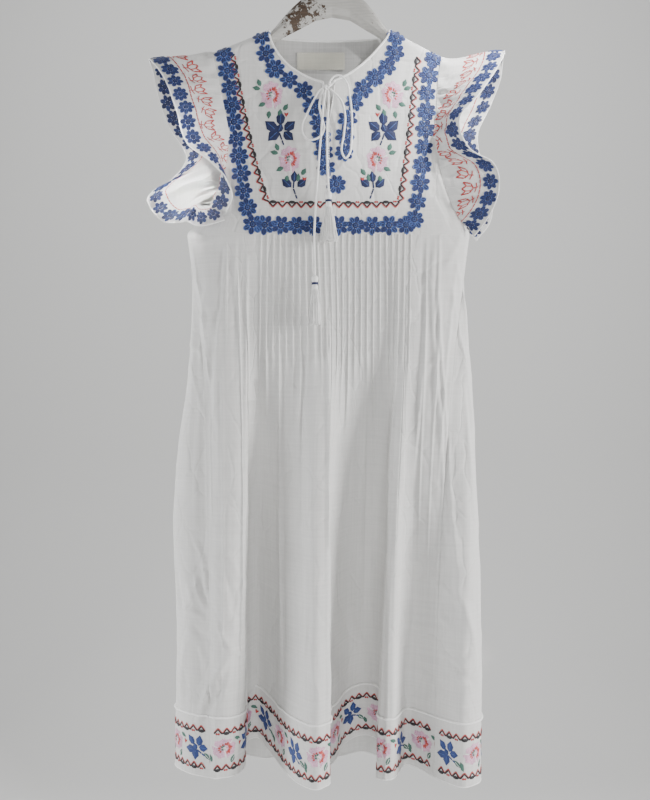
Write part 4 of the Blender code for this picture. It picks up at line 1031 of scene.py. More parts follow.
BandGrid = namedtuple("BandGrid", "levels points normals round_hem")


def band_grid(first, last, shift):
    """The hem band as a grid, with its distance round the hem."""
    u = SKIRT.places(first, last, 11)
    levels = np.linspace(BAND_SEAM, HEM, 30)
    rows = [skirt_row(u, z, shift) for z in levels]
    points = np.array([row[0] for row in rows])
    normals = np.array([row[1] for row in rows])
    return BandGrid(levels, points, normals, lengths(points[15]))


def hem_band(name, grid, look, thickness):
    """The band's cloth, standing a little further out where its edge is turned up."""
    levels, points, normals, round_hem = grid
    cloth = Cloth()
    for i, z in enumerate(levels):
        turned = 0.35 * (z < HEM + 9) * (z > HEM + 1)
        flat = np.stack([round_hem, np.full(len(round_hem), z)], axis=1)
        cloth.level(points[i] + normals[i] * turned, normals[i], flat)
    return cloth.solid(name, thickness, look)


def band_at(grid):
    """Places on a band from the distance round the hem and the height."""
    levels, points, normals, round_hem = grid

    def place(a, z):
        col = np.interp(a, round_hem, np.arange(len(round_hem)))
        row = np.interp(-z, -levels, np.arange(len(levels)))
        return at_grid(points, row, col), unit(at_grid(normals, row, col))

    return place


# Folds that fan out to a sleeve's free edge: place along it, width and depth.
SLEEVE_FOLDS = (
    (0.08, 0.012, 2.0), (0.17, 0.016, -2.2), (0.30, 0.014, 1.6), (0.66, 0.012, -2.4),
    (0.72, 0.014, 3.0), (0.79, 0.013, -3.8), (0.85, 0.012, 3.2), (0.91, 0.012, -2.6),
)


def sleeve_grid(table, side):
    """A flutter sleeve as a grid from the armhole, in its first row, to the free edge."""
    rows = np.array([row[1:] for row in table], float)
    gaps = np.linalg.norm(np.diff(rows[:, 5:8], axis=0), axis=1) + np.abs(np.diff(rows[:, 1]))
    knots = np.concatenate([[0], np.cumsum(gaps)])
    turn = knots[[row[1] for row in table].index(0)]
    places = np.concatenate([
        np.linspace(a, b, 13)[:-1] for a, b in zip(knots, knots[1:])
    ] + [knots[-1:]])
    at = smooth(knots, rows, places)
    out = unit(at[:, 2:5])
    key = "x_left" if side < 0 else "x_right"
    z = at[:, 1]
    front_x = np.where(z > WEDGE_TOP, column(YOKE_SIDE, key, z), column(ARMHOLE_FRONT, key, z))
    back_x = column(ARMHOLE_BACK, key, z)
    on_front = places < turn
    x = np.where(on_front, front_x, back_x)
    y = np.where(on_front, body_y(x, z, -1), body_y(x, z, 1))
    near = np.clip(np.abs(places - turn) / 8, 0, 1)
    seam = np.stack([x, y * near, z], axis=1) + out * 0.3
    edge = at[:, 5:8]
    reach = np.linalg.norm(edge - seam, axis=1, keepdims=True)
    first = seam + out * reach * 0.34
    last = edge + (seam - edge) * 0.3
    last[:, 2] += at[:, 8]
    grid = []
    for t in np.linspace(0, 1, 40):
        a, b, c, d = (1 - t) ** 3, 3 * t * (1 - t) ** 2, 3 * t * t * (1 - t), t**3
        grid.append(a * seam + b * first + c * last + d * edge)
    grid = np.array(grid)
    normals = unit(np.cross(np.gradient(grid, axis=0), np.gradient(grid, axis=1)) * side)
    grid = grid + normals * 0.9
    round_edge = lengths(grid[-1])
    share = np.linspace(0, 1, 40)[:, None]
    gathers = ripple(round_edge[None, :] / 9.0, share * 1.6, 31 + side) * (1 - share) ** 1.2 * 3.4
    flutter = ripple(round_edge[None, :] / 24.0, share * 1.2, 41 + side) * share * 1.6
    fan = np.zeros_like(gathers)
    for place, width, depth in SLEEVE_FOLDS:
        off = (round_edge[None, :] / round_edge[-1] - place) / width
        fan += depth * np.exp(-(off**2)) * np.clip(share * 1.6, 0, 1)
    fade = np.clip(share * 9, 0, 1)
    grid = grid + normals * ((gathers + flutter + fan) * fade)[..., None]
    normals = unit(np.cross(np.gradient(grid, axis=0), np.gradient(grid, axis=1)) * side)
    return grid, normals, round_edge


def sleeve(name, grid, look, thickness):
    points, normals, round_edge = grid
    cloth = Cloth()
    depth = np.linalg.norm(points[-1] - points[0], axis=1)
    for i in range(len(points)):
        flat = np.stack([round_edge, depth * i / (len(points) - 1)], axis=1)
        cloth.level(points[i], normals[i], flat)
    return cloth.solid(name, thickness, look)


def sleeve_at(grid, inside, thickness):
    """Places on a sleeve from the distance round its free edge and in from it."""
    points, normals, round_edge = grid
    depth = np.linalg.norm(points[-1] - points[0], axis=1)

    def place(a, b):
        col = np.interp(a, round_edge, np.arange(len(round_edge)))
        reach = np.interp(col, np.arange(len(depth)), depth)
        row = (1 - np.clip(b / np.maximum(reach, 1), 0, 1)) * (len(points) - 1)
        point = at_grid(points, row, col)
        normal = unit(at_grid(normals, row, col))
        if inside:
            return point - normal * thickness, -normal
        return point, normal

    return place


class Stitches:
    """Raised thread work, drawn on the flat cloth and laid on its surface."""

    def __init__(self):
        self.places = []
        self.lifts = []
        self.faces = []
        self.threads = []
        self.count = 0

    def add(self, places, lifts, faces, thread):
        self.faces.extend(tuple(i + self.count for i in face) for face in faces)
        self.threads.extend([THREADS.index(thread)] * len(faces))
        self.places.append(places)
        self.lifts.append(lifts)
        self.count += len(places)

    def dome(self, outline, thread, height=0.6, keep=0.55, base=0.3):
        """A padded patch: its outline on the cloth, a smaller one above and a crown."""
        outline = np.asarray(outline, float)
        n = len(outline)
        middle = outline.mean(axis=0)
        places = np.vstack([outline, middle + (outline - middle) * keep, middle])
        lifts = np.concatenate([np.full(n, base), np.full(n, base + height), [base + height * 1.1]])
        faces = []
        for i in range(n):
            j = (i + 1) % n
            faces.append((i, j, n + j, n + i))
            faces.append((n + i, n + j, 2 * n))
        self.add(places, lifts, faces, thread)

    def loop(self, outline, thread, inside, height=0.75, base=0.3):
        """A ring of thread round a sunk middle of another thread."""
        outline = np.asarray(outline, float)
        n = len(outline)
        middle = outline.mean(axis=0)
        rings = [middle + (outline - middle) * keep for keep in (1.0, 0.84, 0.68)]
        lifts = np.repeat([base, base + height, base + height * 0.45], n)
        faces = []
        for k in (0, n):
            faces += [(k + i, k + (i + 1) % n, k + n + (i + 1) % n, k + n + i) for i in range(n)]
        self.add(np.vstack(rings), lifts, faces, thread)
        self.add(rings[2], lifts[-n:], [tuple(range(n))], inside)

    def bar(self, start, end, width, thread, height=0.45, base=0.3):
        """One straight stitch with rounded ends."""
        start, end = np.asarray(start, float), np.asarray(end, float)
        way = end - start
        length = max(np.linalg.norm(way), 1e-6)
        way = way / length
        over = np.array([-way[1], way[0]]) * width / 2
        tip = way * min(width / 2, length * 0.3)
        near, far = start + tip, end - tip
        outline = [start, near + over, far + over, end, far - over, near - over]
        self.dome(outline, thread, height, 0.5, base)

    def line(self, points, width, thread, height=0.45, base=0.3):
        for a, b in zip(points, points[1:]):
            self.bar(a, b, width, thread, height, base)

    def lay(self, name, place, looks):
        """Puts the work on the cloth: the same stitches follow every fold."""
        flat = np.vstack(self.places)
        lifts = np.concatenate(self.lifts)
        points, normals = place(flat[:, 0], flat[:, 1])
        mesh = bpy.data.meshes.new(name)
        mesh.from_pydata(((points + normals * lifts[:, None]) * MM).tolist(), [], self.faces)
        keep_flat(mesh, flat)
        made = new_object(name, mesh, looks)
        mesh.polygons.foreach_set("material_index", np.array(self.threads, np.int32))
        mesh.shade_smooth()
        mesh.set_sharp_from_angle(angle=math.radians(70))
        return made


def spot(points, centre, turn=0.0, mirror=1.0):
    """A motif's points turned and moved to their place."""
    points = np.asarray(points, float) * [mirror, 1]
    c, s = math.cos(turn), math.sin(turn)
    return points @ np.array([[c, s], [-s, c]]) + centre


def oval(centre, along, across, turn, count=8):
    angles = np.linspace(0, 2 * math.pi, count, endpoint=False)
    points = np.stack([along * np.cos(angles), across * np.sin(angles)], axis=1)
    return spot(points, centre, turn)


def flower(work, centre, radius, turn, light="azure", dark="navy", petals=8):
    """A small round flower of looped petals; the lighter thread is partly a painted highlight."""
    centre = np.asarray(centre, float)
    for k in range(petals):
        angle = turn + 2 * math.pi * k / petals
        way = np.array([math.cos(angle), math.sin(angle)])
        rim = light if k % 2 else "blue"
        work.loop(oval(centre + way * radius * 0.66, radius * 0.39, radius * 0.3, angle), rim, dark)
        start, end = centre + way * radius * 0.4, centre + way * radius * 0.86
        work.bar(start, end, radius * 0.07, rim, 0.25, 0.9)
    work.dome(oval(centre, radius * 0.34, radius * 0.34, turn), dark, 0.5, 0.6, 0.6)
    work.loop(oval(centre, radius * 0.17, radius * 0.17, turn), light, dark, 0.3, 1.05)


def leaf(work, centre, length, width, turn, thread, vein=None):
    """A pointed leaf, with a vein of another thread on the larger ones."""
    outline = [(-0.5, 0), (-0.28, 0.36), (0.06, 0.46), (0.5, 0.03), (0.06, -0.46), (-0.28, -0.36)]
    work.dome(spot(np.array(outline) * [length, width], centre, turn), thread, 0.5, 0.6)
    if vein:
        ends = spot(np.array([(-0.32, 0.0), (0.3, 0.0)]) * length, centre, turn)
        work.bar(ends[0], ends[1], 0.8, vein, 0.3, 0.85)


def rose(work, centre, tall, wide, turn, mirror=1.0):
    """An open rose: rays of pale thread with a crescent and a spotted heart."""

    def ray(angle, start, end, *stitch):
        way = np.array([wide / 2 * math.cos(angle), tall / 2 * math.sin(angle)])
        work.bar(*spot([way * start, way * end], centre, turn, mirror), *stitch)

    for k in range(40):
        end = 0.86 + 0.14 * math.sin(k * 2.4) ** 2
        ray(2 * math.pi * k / 40, 0.16, end, 2.6, "white" if k % 13 == 5 else "pink", 0.35, 0.25)
    for k in range(9):
        end = 0.62 + 0.06 * math.sin(k * 2.1)
        ray(-1.1 + 0.31 * k, 0.3, end, 2.9, "red" if k % 3 else "coral", 0.4, 0.6)
    for k in range(5):
        ray(1.9 + 0.5 * k, 0.26, 0.5, 2.4, "coral" if k % 2 else "red", 0.35, 0.6)
    spots = ((-2.6, -1.2), (0.4, -3.4), (-3.4, 2.4), (0.6, 0.6), (-0.8, 3.6), (2.6, -1.0))
    for k, here in enumerate(spot(spots, centre, turn, mirror)):
        work.dome(oval(here, 1.7, 1.3, k, 6), "white" if k % 2 else "green", 0.4, 0.5, 0.8)


def bud(work, centre, size, turn):
    shape = ((-0.5, 0.0), (0.1, 0.4), (0.5, 0.42), (0.28, 0.0), (0.5, -0.42), (0.1, -0.4))
    work.dome(spot(np.array(shape) * size, centre, turn), "red", 0.5, 0.5)


def spray(work, centre, size, turn, mirror=1.0, half=False, thread="navy"):
    """A stem with broad leaves in dark blue."""
    leaves = (
        (0.02, 0.34, 0.46, 0.30, 1.5), (-0.27, 0.10, 0.48, 0.36, 2.4),
        (0.30, 0.10, 0.44, 0.34, 0.7), (-0.20, -0.20, 0.46, 0.36, 3.9),
        (0.26, -0.22, 0.40, 0.32, 5.5), (0.0, 0.04, 0.30, 0.24, 1.2),
    )
    for x, y, length, width, angle in leaves[:3] if half else leaves:
        here = spot([(x * size, y * size)], centre, turn, mirror)[0]
        lean = turn + (angle if mirror > 0 else math.pi - angle)
        # Veins in the lighter blue: partly a painted highlight on the leaves.
        leaf(work, here, length * size, width * size, lean, thread, "azure")
    stem = np.array([(0.0, 0.16), (-0.02, -0.1), (0.06, -0.34), (0.12, -0.5)]) * size
    work.line(spot(stem, centre, turn, mirror), 2.2, thread)


def zigzag(work, path, step, tall, side, first=0):
    """A black zigzag edged in red, with a half moon or red dashes inside each peak in turn."""
    path = np.asarray(path, float)
    along = lengths(path)
    count = max(2, int(round(along[-1] / step)))
    marks = smooth(along, path, np.linspace(0, along[-1], 2 * count + 1))
    ways = unit(np.gradient(marks, axis=0))
    over = np.stack([-ways[:, 1], ways[:, 0]], axis=1) * side
    points = marks - over * tall / 2
    points[1::2] = (marks + over * tall / 2)[1::2]
    for i in range(len(points) - 1):
        edge = over[i] * 1.5
        thread = "red" if (i + first) % 5 else "coral"
        work.bar(points[i] + edge, points[i + 1] + edge, 1.6, thread, 0.4)
        work.bar(points[i], points[i + 1], 2.5, "black", 0.55)
    for i in range(1, len(points), 2):
        base = marks[i] - over[i] * tall * 0.34
        if (i // 2 + first) % 2:
            turn = math.atan2(ways[i][1], ways[i][0])
            work.dome(oval(base - over[i] * 0.6, 4.7, 2.4, turn), "black", 0.55)
        else:
            for dash in (-1.7, 1.1):
                here = base + ways[i] * dash - over[i] * 1.2
                reach = ways[i] * 1.7
                work.bar(here - reach, here + reach + over[i] * 0.6, 3.0, "red", 0.5)


def tulip(work, centre, size, turn):
    """A cup-shaped flower drawn in red line."""
    cup = (
        (-0.5, 0.42), (-0.36, -0.2), (0, -0.42), (0.36, -0.2), (0.5, 0.42), (0.2, 0.12), (0, 0.46),
        (-0.2, 0.12), (-0.5, 0.42),
    )
    work.line(spot(np.array(cup) * size, centre, turn), 1.9, "red", 0.4)
    for start, end, thread in (
        ((-0.16, -0.3), (-0.192, 0.16), "coral"), ((0.16, -0.3), (0.192, 0.16), "coral"),
        ((0, -0.42), (0.1, -0.8), "red"), ((0.08, -0.66), (-0.34, -0.6), "red"),
        ((0.08, -0.66), (0.42, -0.6), "red"),
    ):
        work.bar(*spot(np.array([start, end]) * size, centre, turn), 1.5, thread, 0.35)


def yoke_stitching(looks):
    """Borders and bunches of the bib."""
    work = Stitches()
    rows = (
        (((-155, -172), (-148, -205), (-141, -262), (-132, -322), (-124, -378), (-112, -419)), 11),
        (((-95, -420), (-60, -421), (-27, -421)), 4),
        (((9, -421), (60, -421), (104, -420)), 5),
        (((116, -412), (123, -372), (129, -322), (134, -262), (138, -205), (146, -178)), 10),
        (((-101, -146), (-96, -168), (-82, -193), (-60, -211), (-40, -226), (-28, -248)), 6),
        (((-19, -272), (-16, -290), (-12, -316), (-8, -338)), 4),
        (((92, -146), (90, -168), (80, -189), (62, -206), (44, -224), (32, -243)), 6),
        (((22, -268), (18, -292), (17, -316)), 3),
    )
    for k, (path, count) in enumerate(rows):
        for i, centre in enumerate(arc_places(path, count)):
            radius = 13.9 + 0.7 * math.sin(i * 2.1 + k)
            flower(work, centre, radius, i * 0.9 + k, petals=7 if (i + k) % 3 else 8)
    flower(work, (6, -362), 14.0, 0.3)
    for first, path in (
        (0, ((-143, -172), (-132, -230), (-119, -292), (-106, -345), (-92, -388))),
        (1, ((-90, -390), (-50, -391), (0, -391), (50, -391), (96, -390))),
        (0, ((96, -388), (103, -345), (110, -292), (117, -230), (124, -176))),
    ):
        zigzag(work, path, 13.0, 7.8, -1, first)
    for side, x_rose, x_low in ((-1, -86, -60), (1, 86, 64)):
        rose(work, (x_rose, -232), 43, 34, 0, -side)
        rose(work, (x_low, -326), 40, 33, 0, -side)
        spray(work, (x_rose - side * 12, -282), 47, 0, -side)
        spray(work, (x_low - side * 6, -364), 38, 0, -side, True)
        leaves = (
            (18, 18, 1.9), (22, 10, 2.9), (14, -14, 3.6), (4, -29, 4.6), (-20, -18, 1.0),
            (-12, -26, 1.4),
        )
        for x_centre, z_centre in ((x_rose, -232), (x_low, -326)):
            for x, z, turn in leaves:
                lean = turn if side < 0 else math.pi - turn
                leaf(work, (x_centre + side * x, z_centre + z), 12, 7.5, lean, "green")
            bud(work, (x_centre - side * 21, z_centre - 29), 7, math.pi / 2)
    return work.lay("yoke_stitching", yoke_at, looks)


def band_stitching(name, grid, looks, sprays_first):
    """The hem's two zigzags with roses and sprays in turn between them."""
    work = Stitches()
    end = grid.round_hem[-1]
    for z, first in ((-1127, 0), (-1178, 1)):
        path = np.stack([np.linspace(7, end - 7, 60), np.full(60, float(z))], axis=1)
        zigzag(work, path, 12.2, 7.4, 1, first)
    count = int(end // 44)
    pitch = end / count
    for i in range(count):
        middle = (i + 0.5) * pitch
        low = -1152 + 1.5 * math.sin(i * 2.3)
        if (i + sprays_first) % 2:
            spray(work, (middle, low), 35, 0.75 + 0.2 * math.sin(i), 1, False, "blue")
            leaf(work, (middle + 18, low - 11), 13, 6.5, -0.7, "green", "white")
            leaf(work, (middle + 25, low - 16), 8, 5, -1.2, "green")
        else:
            rose(work, (middle, low + 1), 30, 38, 0.15 * math.sin(i * 1.7))
            leaf(work, (middle - 20, low - 13), 11, 6, 1.9, "green")
            leaf(work, (middle + 13, low - 15), 12, 7, 1.1, "green", "white")
            leaf(work, (middle + 21, low + 12), 12, 6, -0.4, "green")
            bud(work, (middle + 25, low + 4), 7, 1.2)
    return work.lay(name, band_at(grid), looks)


def sleeve_stitching(name, grid, looks, thickness):
    """Flowers and a red line round the free edge, and cup flowers further in."""
    end = grid[2][-1]
    made = []
    for inside in (False, True):
        work = Stitches()
        count = int(end // 23.5)
        for i in range(count):
            centre = ((i + 0.5) * end / count, 13.5 + 1.2 * math.sin(i * 2.0))
            light = "navy" if inside else "blue"
            radius = 11.8 + 0.6 * math.sin(i * 1.3)
            flower(work, centre, radius, i * 0.7, light, "navy", 8 if i % 3 else 7)
        path = [(a, 28.5 + math.sin(a / 17)) for a in np.linspace(4, end - 4, int(end // 7))]
        work.line(path, 1.7, "red", 0.4)
        if not inside:
            for i in range(int(end // 22)):
                centre = ((i + 0.5) * 22, 46 + 3 * math.sin(i * 1.9))
                tulip(work, centre, 18, 0.5 * math.sin(i * 1.1))
        made.append(work.lay(
            name + ("_inside" if inside else ""), sleeve_at(grid, inside, thickness), looks
        ))
    return made


def cord_piece(name, places, diameter, look):
    """A round cord through places in metres."""
    data = bpy.data.curves.new(name + "_cord", "CURVE")
    data.dimensions = "3D"
    data.bevel_depth = diameter / 2 * MM
    data.bevel_resolution = 3
    data.use_fill_caps = True
    line = data.splines.new("POLY")
    line.points.add(len(places) - 1)
    for point, place in zip(line.points, places):
        point.co = (*place, 1)
    line.use_smooth = True
    return stands_for(new_object(name + "_cord", data, [look]), name)


def tie_knot(look, radius):
    """The middle of the bow: the cord crossed through itself and pulled tight."""
    turns = np.linspace(0, 2 * math.pi, 60, endpoint=False)
    x = (np.sin(turns) + 2 * np.sin(2 * turns)) * 1.05
    z = (np.cos(turns) - 2 * np.cos(2 * turns)) * 1.05
    y = -np.sin(3 * turns) * 1.6
    path = np.stack([x, y, z], axis=1) + KNOT
    made = tube_mesh("tie_knot_cord", path, radius, [look], 8, True)
    return stands_for(made, "tie_knot")


TASSEL_HEAD = (
    (4.2, 1), (4.5, 5), (3.7, 8), (3.5, 10), (3.7, 12), (4.6, 15), (4.7, 18),
)
TASSEL_TOP = ((4.1, -3.0), (2.9, -1.2), (1.4, -0.4))
TASSEL_RIBS, CORE_SIDES, STRAND_STEPS = 60, 24, 8
STRAND_RADIUS, STRAND_CORNERS = 0.75, (0.4, 2.494, 4.589)
GOLDEN_TURN = 2.39996


def stacked(shape, rings, rooted=False):
    """Faces between rings of places, closed at the far end, and at the near one unless rooted."""
    rings = [[shape.verts.new(tuple(c * MM for c in place)) for place in ring] for ring in rings]
    for near, far in zip(rings, rings[1:]):
        for i in range(len(near)):
            j = (i + 1) % len(near)
            shape.faces.new((near[i], near[j], far[j], far[i]))
    if not rooted:
        shape.faces.new(rings[0][::-1])
    shape.faces.new(rings[-1])


def tassel(row, cord_look, wound_look, strands):
    """A bound head of many threads over a loose skirt, with the thread wound round its neck."""
    shape = bmesh.new()
    neck = row.z_top - row.head
    profile = [(radius, height - row.head) for radius, height in TASSEL_HEAD] + [*TASSEL_TOP]
    rings = []
    for radius, height in profile:
        ring = []
        for i in range(TASSEL_RIBS):
            turn = 2 * math.pi * i / TASSEL_RIBS
            wide = radius * (1 - 0.07 * (i % 2)) + 0.12 * math.sin(5 * turn + height)
            x, y = row.x + wide * math.cos(turn), row.y + wide * math.sin(turn)
            ring.append((x, y, row.z_top + height))
        rings.append(ring)
    stacked(shape, rings)
    rings = []
    for share in (0.0, 0.3, 0.65, 0.94):
        wide_x = 3.2 + (row.spread_x * 0.86 - 3.2) * share**0.8
        wide_y = 3.2 + (row.spread_y * 0.86 - 3.2) * share**0.8
        turns = [2 * math.pi * i / CORE_SIDES for i in range(CORE_SIDES)]
        z = neck + 2 - row.skirt * share
        rings.append([
            (row.x + wide_x * math.cos(turn), row.y + wide_y * math.sin(turn), z) for turn in turns
        ])
    stacked(shape, rings)
    rng = np.random.default_rng(len(row.name))
    for k in range(strands):
        turn = GOLDEN_TURN * k
        share = 0.55 + 0.45 * math.sqrt((k + 0.5) / strands)
        wander = rng.uniform(-1, 1, 4)
        length = row.skirt * (0.95 + 0.05 * wander[2])
        rings = []
        for t in np.linspace(0, 1, STRAND_STEPS):
            spread_x = 3.9 + (row.spread_x - 3.9) * t**0.8
            spread_y = 3.9 + (row.spread_y - 3.9) * t**0.8
            x = row.x + share * spread_x * math.cos(turn) + wander[0] * t * 0.9
            x += 0.3 * math.sin(9 * t + k)
            y = row.y + share * spread_y * math.sin(turn) + wander[1] * t * 0.5
            z = neck + 2 - length * t
            rings.append([
                (x + STRAND_RADIUS * math.cos(a), y + STRAND_RADIUS * math.sin(a), z)
                for a in STRAND_CORNERS
            ])
        stacked(shape, rings, True)
    bmesh.ops.recalc_face_normals(shape, faces=shape.faces)
    mesh = bpy.data.meshes.new(row.name + "_threads")
    shape.to_mesh(mesh)
    shape.free()
    mesh.shade_smooth()
    threads = new_object(row.name + "_threads", mesh, [cord_look])
    stands_for(threads, row.name)
    turns = np.linspace(0, 2 * math.pi * 4.5, 110)
    height = neck + 10 + np.linspace(-1.7, 1.7, 110)
    path = np.stack([row.x + 4.25 * np.cos(turns), row.y + 4.25 * np.sin(turns), height], axis=1)
    wound = tube_mesh(row.name + "_wound", path, 0.52, [wound_look], 6)
    stands_for(wound, row.name + "_wrap")
    return [threads, wound]


def neck_route():
    """The neck binding's line, from the knot round the back and to the knot again."""
    path = []
    for half in (NECK_LEFT[::-1], NECK_RIGHT[::-1]):
        curve = arc_places(half, 40)
        ahead = unit(np.gradient(curve, axis=0))
        xs = curve[:, 0] + ahead[:, 1] * 1.2
        zs = curve[:, 1] - ahead[:, 0] * 1.2
        ys = body_y(xs, np.minimum(zs, -140.0), -1)
        path.append([(x, y, z) for x, y, z in zip(xs, ys, zs) if z < -143])
    left_x, right_x = NECK_LEFT[0][0], NECK_RIGHT[-1][0]
    share = np.linspace(0, 1, 40)[3:-3]
    across = left_x + (right_x - left_x) * share
    rise = -131.6 - BACK_NECK_DROP * np.sin(np.pi * share) ** 0.5
    back = list(zip(across, body_y(across, np.full(len(across), -150.0), 1), rise))
    over_left = [(left_x + 4, -13, -137), (left_x + 2.1, -6, -132.7), (left_x + 2.1, 6, -132.7)]
    over_right = [(right_x - 2.1, 6, -132.7), (right_x - 2.1, -6, -132.7), (right_x - 4, -13, -137)]
    left, right = path
    return [*BINDING_START, *left, *over_left, *back, *over_right, *right, *BINDING_END]


def neck_binding(look):
    path = arc_places(neck_route(), 260)
    made = tube_mesh("neck_binding_cloth", path, 1.55, [look], 10)
    return stands_for(made, "neck_binding")


def edging(name, path, radius, look):
    made = tube_mesh(name, path, radius, [look], 6)
    return made


def label(look, looks):
    """The blank woven label, sewn down with small stitches."""
    left, right, top, bottom = LABEL

    def place(x, z, off=2.05):
        facing = -upper_normal(x, z, 1)
        curl = 0.5 * np.sin((x - left) / 9) * ease_in(top - z, 25)
        return upper_point(x, z, 1) + facing * (off + curl)[..., None], facing

    x, z = np.meshgrid(np.linspace(left, right, 40), np.linspace(top, bottom, 22))
    points, facing = place(x, z, 1.5)
    cloth = Cloth()
    for i in range(len(points)):
        flat = np.stack([x[i], z[i]], axis=1)
        cloth.level(points[i][::-1], -facing[i][::-1], flat[::-1])
    made = stands_for(cloth.solid("neck_label_cloth", 0.5, look), "neck_label")
    work = Stitches()
    for edge in (top - 1.2, bottom + 1.2):
        for start in np.arange(left + 2, right - 2, 2.6):
            work.bar((start, edge), (start + 1.6, edge), 0.5, "white", 0.2, 0.1)
    for edge in (left + 1.2, right - 1.2):
        for start in np.arange(bottom + 2, top - 2, 2.6):
            work.bar((edge, start), (edge, start + 1.6), 0.5, "white", 0.2, 0.1)
    return made, work.lay("neck_label_stitches", place, looks)


def new_look(name, colour, roughness, sheen=0.0, metallic=0.0):
    look = bpy.data.materials.new(name)
    look.use_nodes = True
    shader = look.node_tree.nodes["Principled BSDF"]
    shader.inputs["Base Color"].default_value = (*colour[:3], 1)
    shader.inputs["Roughness"].default_value = roughness
    shader.inputs["Metallic"].default_value = metallic
    shader.inputs["Sheen Weight"].default_value = sheen
    shader.inputs["Sheen Roughness"].default_value = 0.5
    look.diffuse_color = (*colour[:3], 1)
    return look, look.node_tree, shader


def node(tree, kind, inputs=(), **settings):
    made = tree.nodes.new(kind)
    for key, value in settings.items():
        setattr(made, key, value)
    for key, value in dict(inputs).items():
        made.inputs[key].default_value = value
    return made


def mapped(tree, coordinate, scale, turn=0.0):
    source = node(tree, "ShaderNodeTexCoord")
    mapping = node(tree, "ShaderNodeMapping", {"Scale": scale, "Rotation": (0, 0, turn)})
    tree.links.new(source.outputs[coordinate], mapping.inputs["Vector"])
    return mapping.outputs["Vector"]


def noise(tree, vector, scale, detail=2.0, rough=0.5):
    made = node(tree, "ShaderNodeTexNoise", {"Scale": scale, "Detail": detail, "Roughness": rough})
    tree.links.new(vector, made.inputs["Vector"])
    return made.outputs["Fac"]


def maths(tree, operation, first, second):
    made = node(tree, "ShaderNodeMath", operation=operation)
    for socket, value in zip(made.inputs, (first, second)):
        if isinstance(value, (int, float)):
            socket.default_value = value
        else:
            tree.links.new(value, socket)
    return made.outputs[0]


def ramp(tree, value, stops, smooth_stops=True):
    made = node(tree, "ShaderNodeValToRGB")
    made.color_ramp.interpolation = "EASE" if smooth_stops else "LINEAR"
    elements = made.color_ramp.elements
    while len(elements) < len(stops):
        elements.new(0.5)
    for element, (place, colour) in zip(elements, stops):
        element.position = place
        element.color = (*colour[:3], 1)
    tree.links.new(value, made.inputs["Fac"])
    return made.outputs["Color"]


def blend(tree, first, first_share, second, second_share):
    """Two values added, each times its share."""
    return maths(
        tree, "ADD",
        maths(tree, "MULTIPLY", first, first_share), maths(tree, "MULTIPLY", second, second_share),
    )


def toned(colour, share, more=0.0):
    return tuple(min(1.0, c * share + more) for c in colour[:3])


def coloured(tree, shader, value, stops, smooth_stops=True):
    tree.links.new(ramp(tree, value, stops, smooth_stops), shader.inputs["Base Color"])


def ranged(tree, value, low, high, share):
    """A value's rise from one place to another, times a share that may sink it."""
    made = node(
        tree, "ShaderNodeMapRange", {1: low, 2: high, 3: 0.0, 4: share}, interpolation_type="SMOOTHSTEP"
    )
    tree.links.new(value, made.inputs[0])
    return made.outputs[0]


def bumped(tree, shader, height, strength, distance, after=None):
    made = node(tree, "ShaderNodeBump", {"Strength": strength, "Distance": distance})
    tree.links.new(height, made.inputs["Height"])
    if after is not None:
        tree.links.new(after, made.inputs["Normal"])
    tree.links.new(made.outputs["Normal"], shader.inputs["Normal"])
    return made.outputs["Normal"]


def cotton_look(name, colour, coordinate="UV", creased=True, open_weave=1.0):
    """Voile: uneven warp and weft threads, thicker slubs among them, and soft creasing."""
    look, tree, shader = new_look(name, colour, 0.88, 0.15)
    shader.inputs["Specular IOR Level"].default_value = 0.25
    warp, weft, warp_slub, weft_slub = (
        noise(tree, mapped(tree, coordinate, scale), 1.0, detail) for scale, detail in (
            ((1400, 40, 40), 2), ((36, 1300, 1300), 2), ((330, 9, 9), 3), ((8, 300, 300), 3),
        )
    )
    threads = maths(tree, "ADD", warp, weft)
    slubs = maths(tree, "ADD", warp_slub, weft_slub)
    stops = ((0.36, toned(colour, 1 - 0.1 * open_weave)), (0.62, toned(colour, 1.05)))
    coloured(tree, shader, blend(tree, threads, 0.18, slubs, 0.32), stops, False)
    normal = None
    if creased:
        wide = noise(tree, mapped(tree, coordinate, (14, 10, 10), 0.3), 1.0, 4, 0.55)
        sharp = node(tree, "ShaderNodeTexVoronoi", {"Scale": 1.0}, feature="DISTANCE_TO_EDGE")
        bent = node(tree, "ShaderNodeVectorMath", operation="ADD")
        wander = node(tree, "ShaderNodeTexNoise", {"Scale": 0.9, "Detail": 2.0})
        vector = mapped(tree, coordinate, (26, 17, 17), 0.5)
        tree.links.new(vector, wander.inputs["Vector"])
        tree.links.new(vector, bent.inputs[0])
        tree.links.new(wander.outputs["Color"], bent.inputs[1])
        tree.links.new(bent.outputs[0], sharp.inputs["Vector"])
        creases = maths(tree, "MINIMUM", sharp.outputs["Distance"], 0.09)
        relief = maths(tree, "ADD", wide, maths(tree, "MULTIPLY", creases, 2.2))
        normal = bumped(tree, shader, relief, 0.5, 0.005)
    weave = maths(tree, "ADD", threads, maths(tree, "MULTIPLY", slubs, 1.4))
    bumped(tree, shader, weave, 0.35, 0.0004, normal)
    return look


def thread_look(name, colour):
    """Twisted thread laid in close rows, with a slight sheen."""
    look, tree, shader = new_look(name, colour, 0.6, 0.07)
    rows = noise(tree, mapped(tree, "Object", (900, 900, 900)), 1.0, 2)
    patches = noise(tree, mapped(tree, "Object", (90, 90, 90)), 1.0, 2)
    stops = ((0.3, toned(colour, 0.6)), (0.7, toned(colour, 1.45, 0.01)))
    coloured(tree, shader, blend(tree, rows, 0.6, patches, 0.4), stops, False)
    bumped(tree, shader, rows, 0.5, 0.0004)
    return look


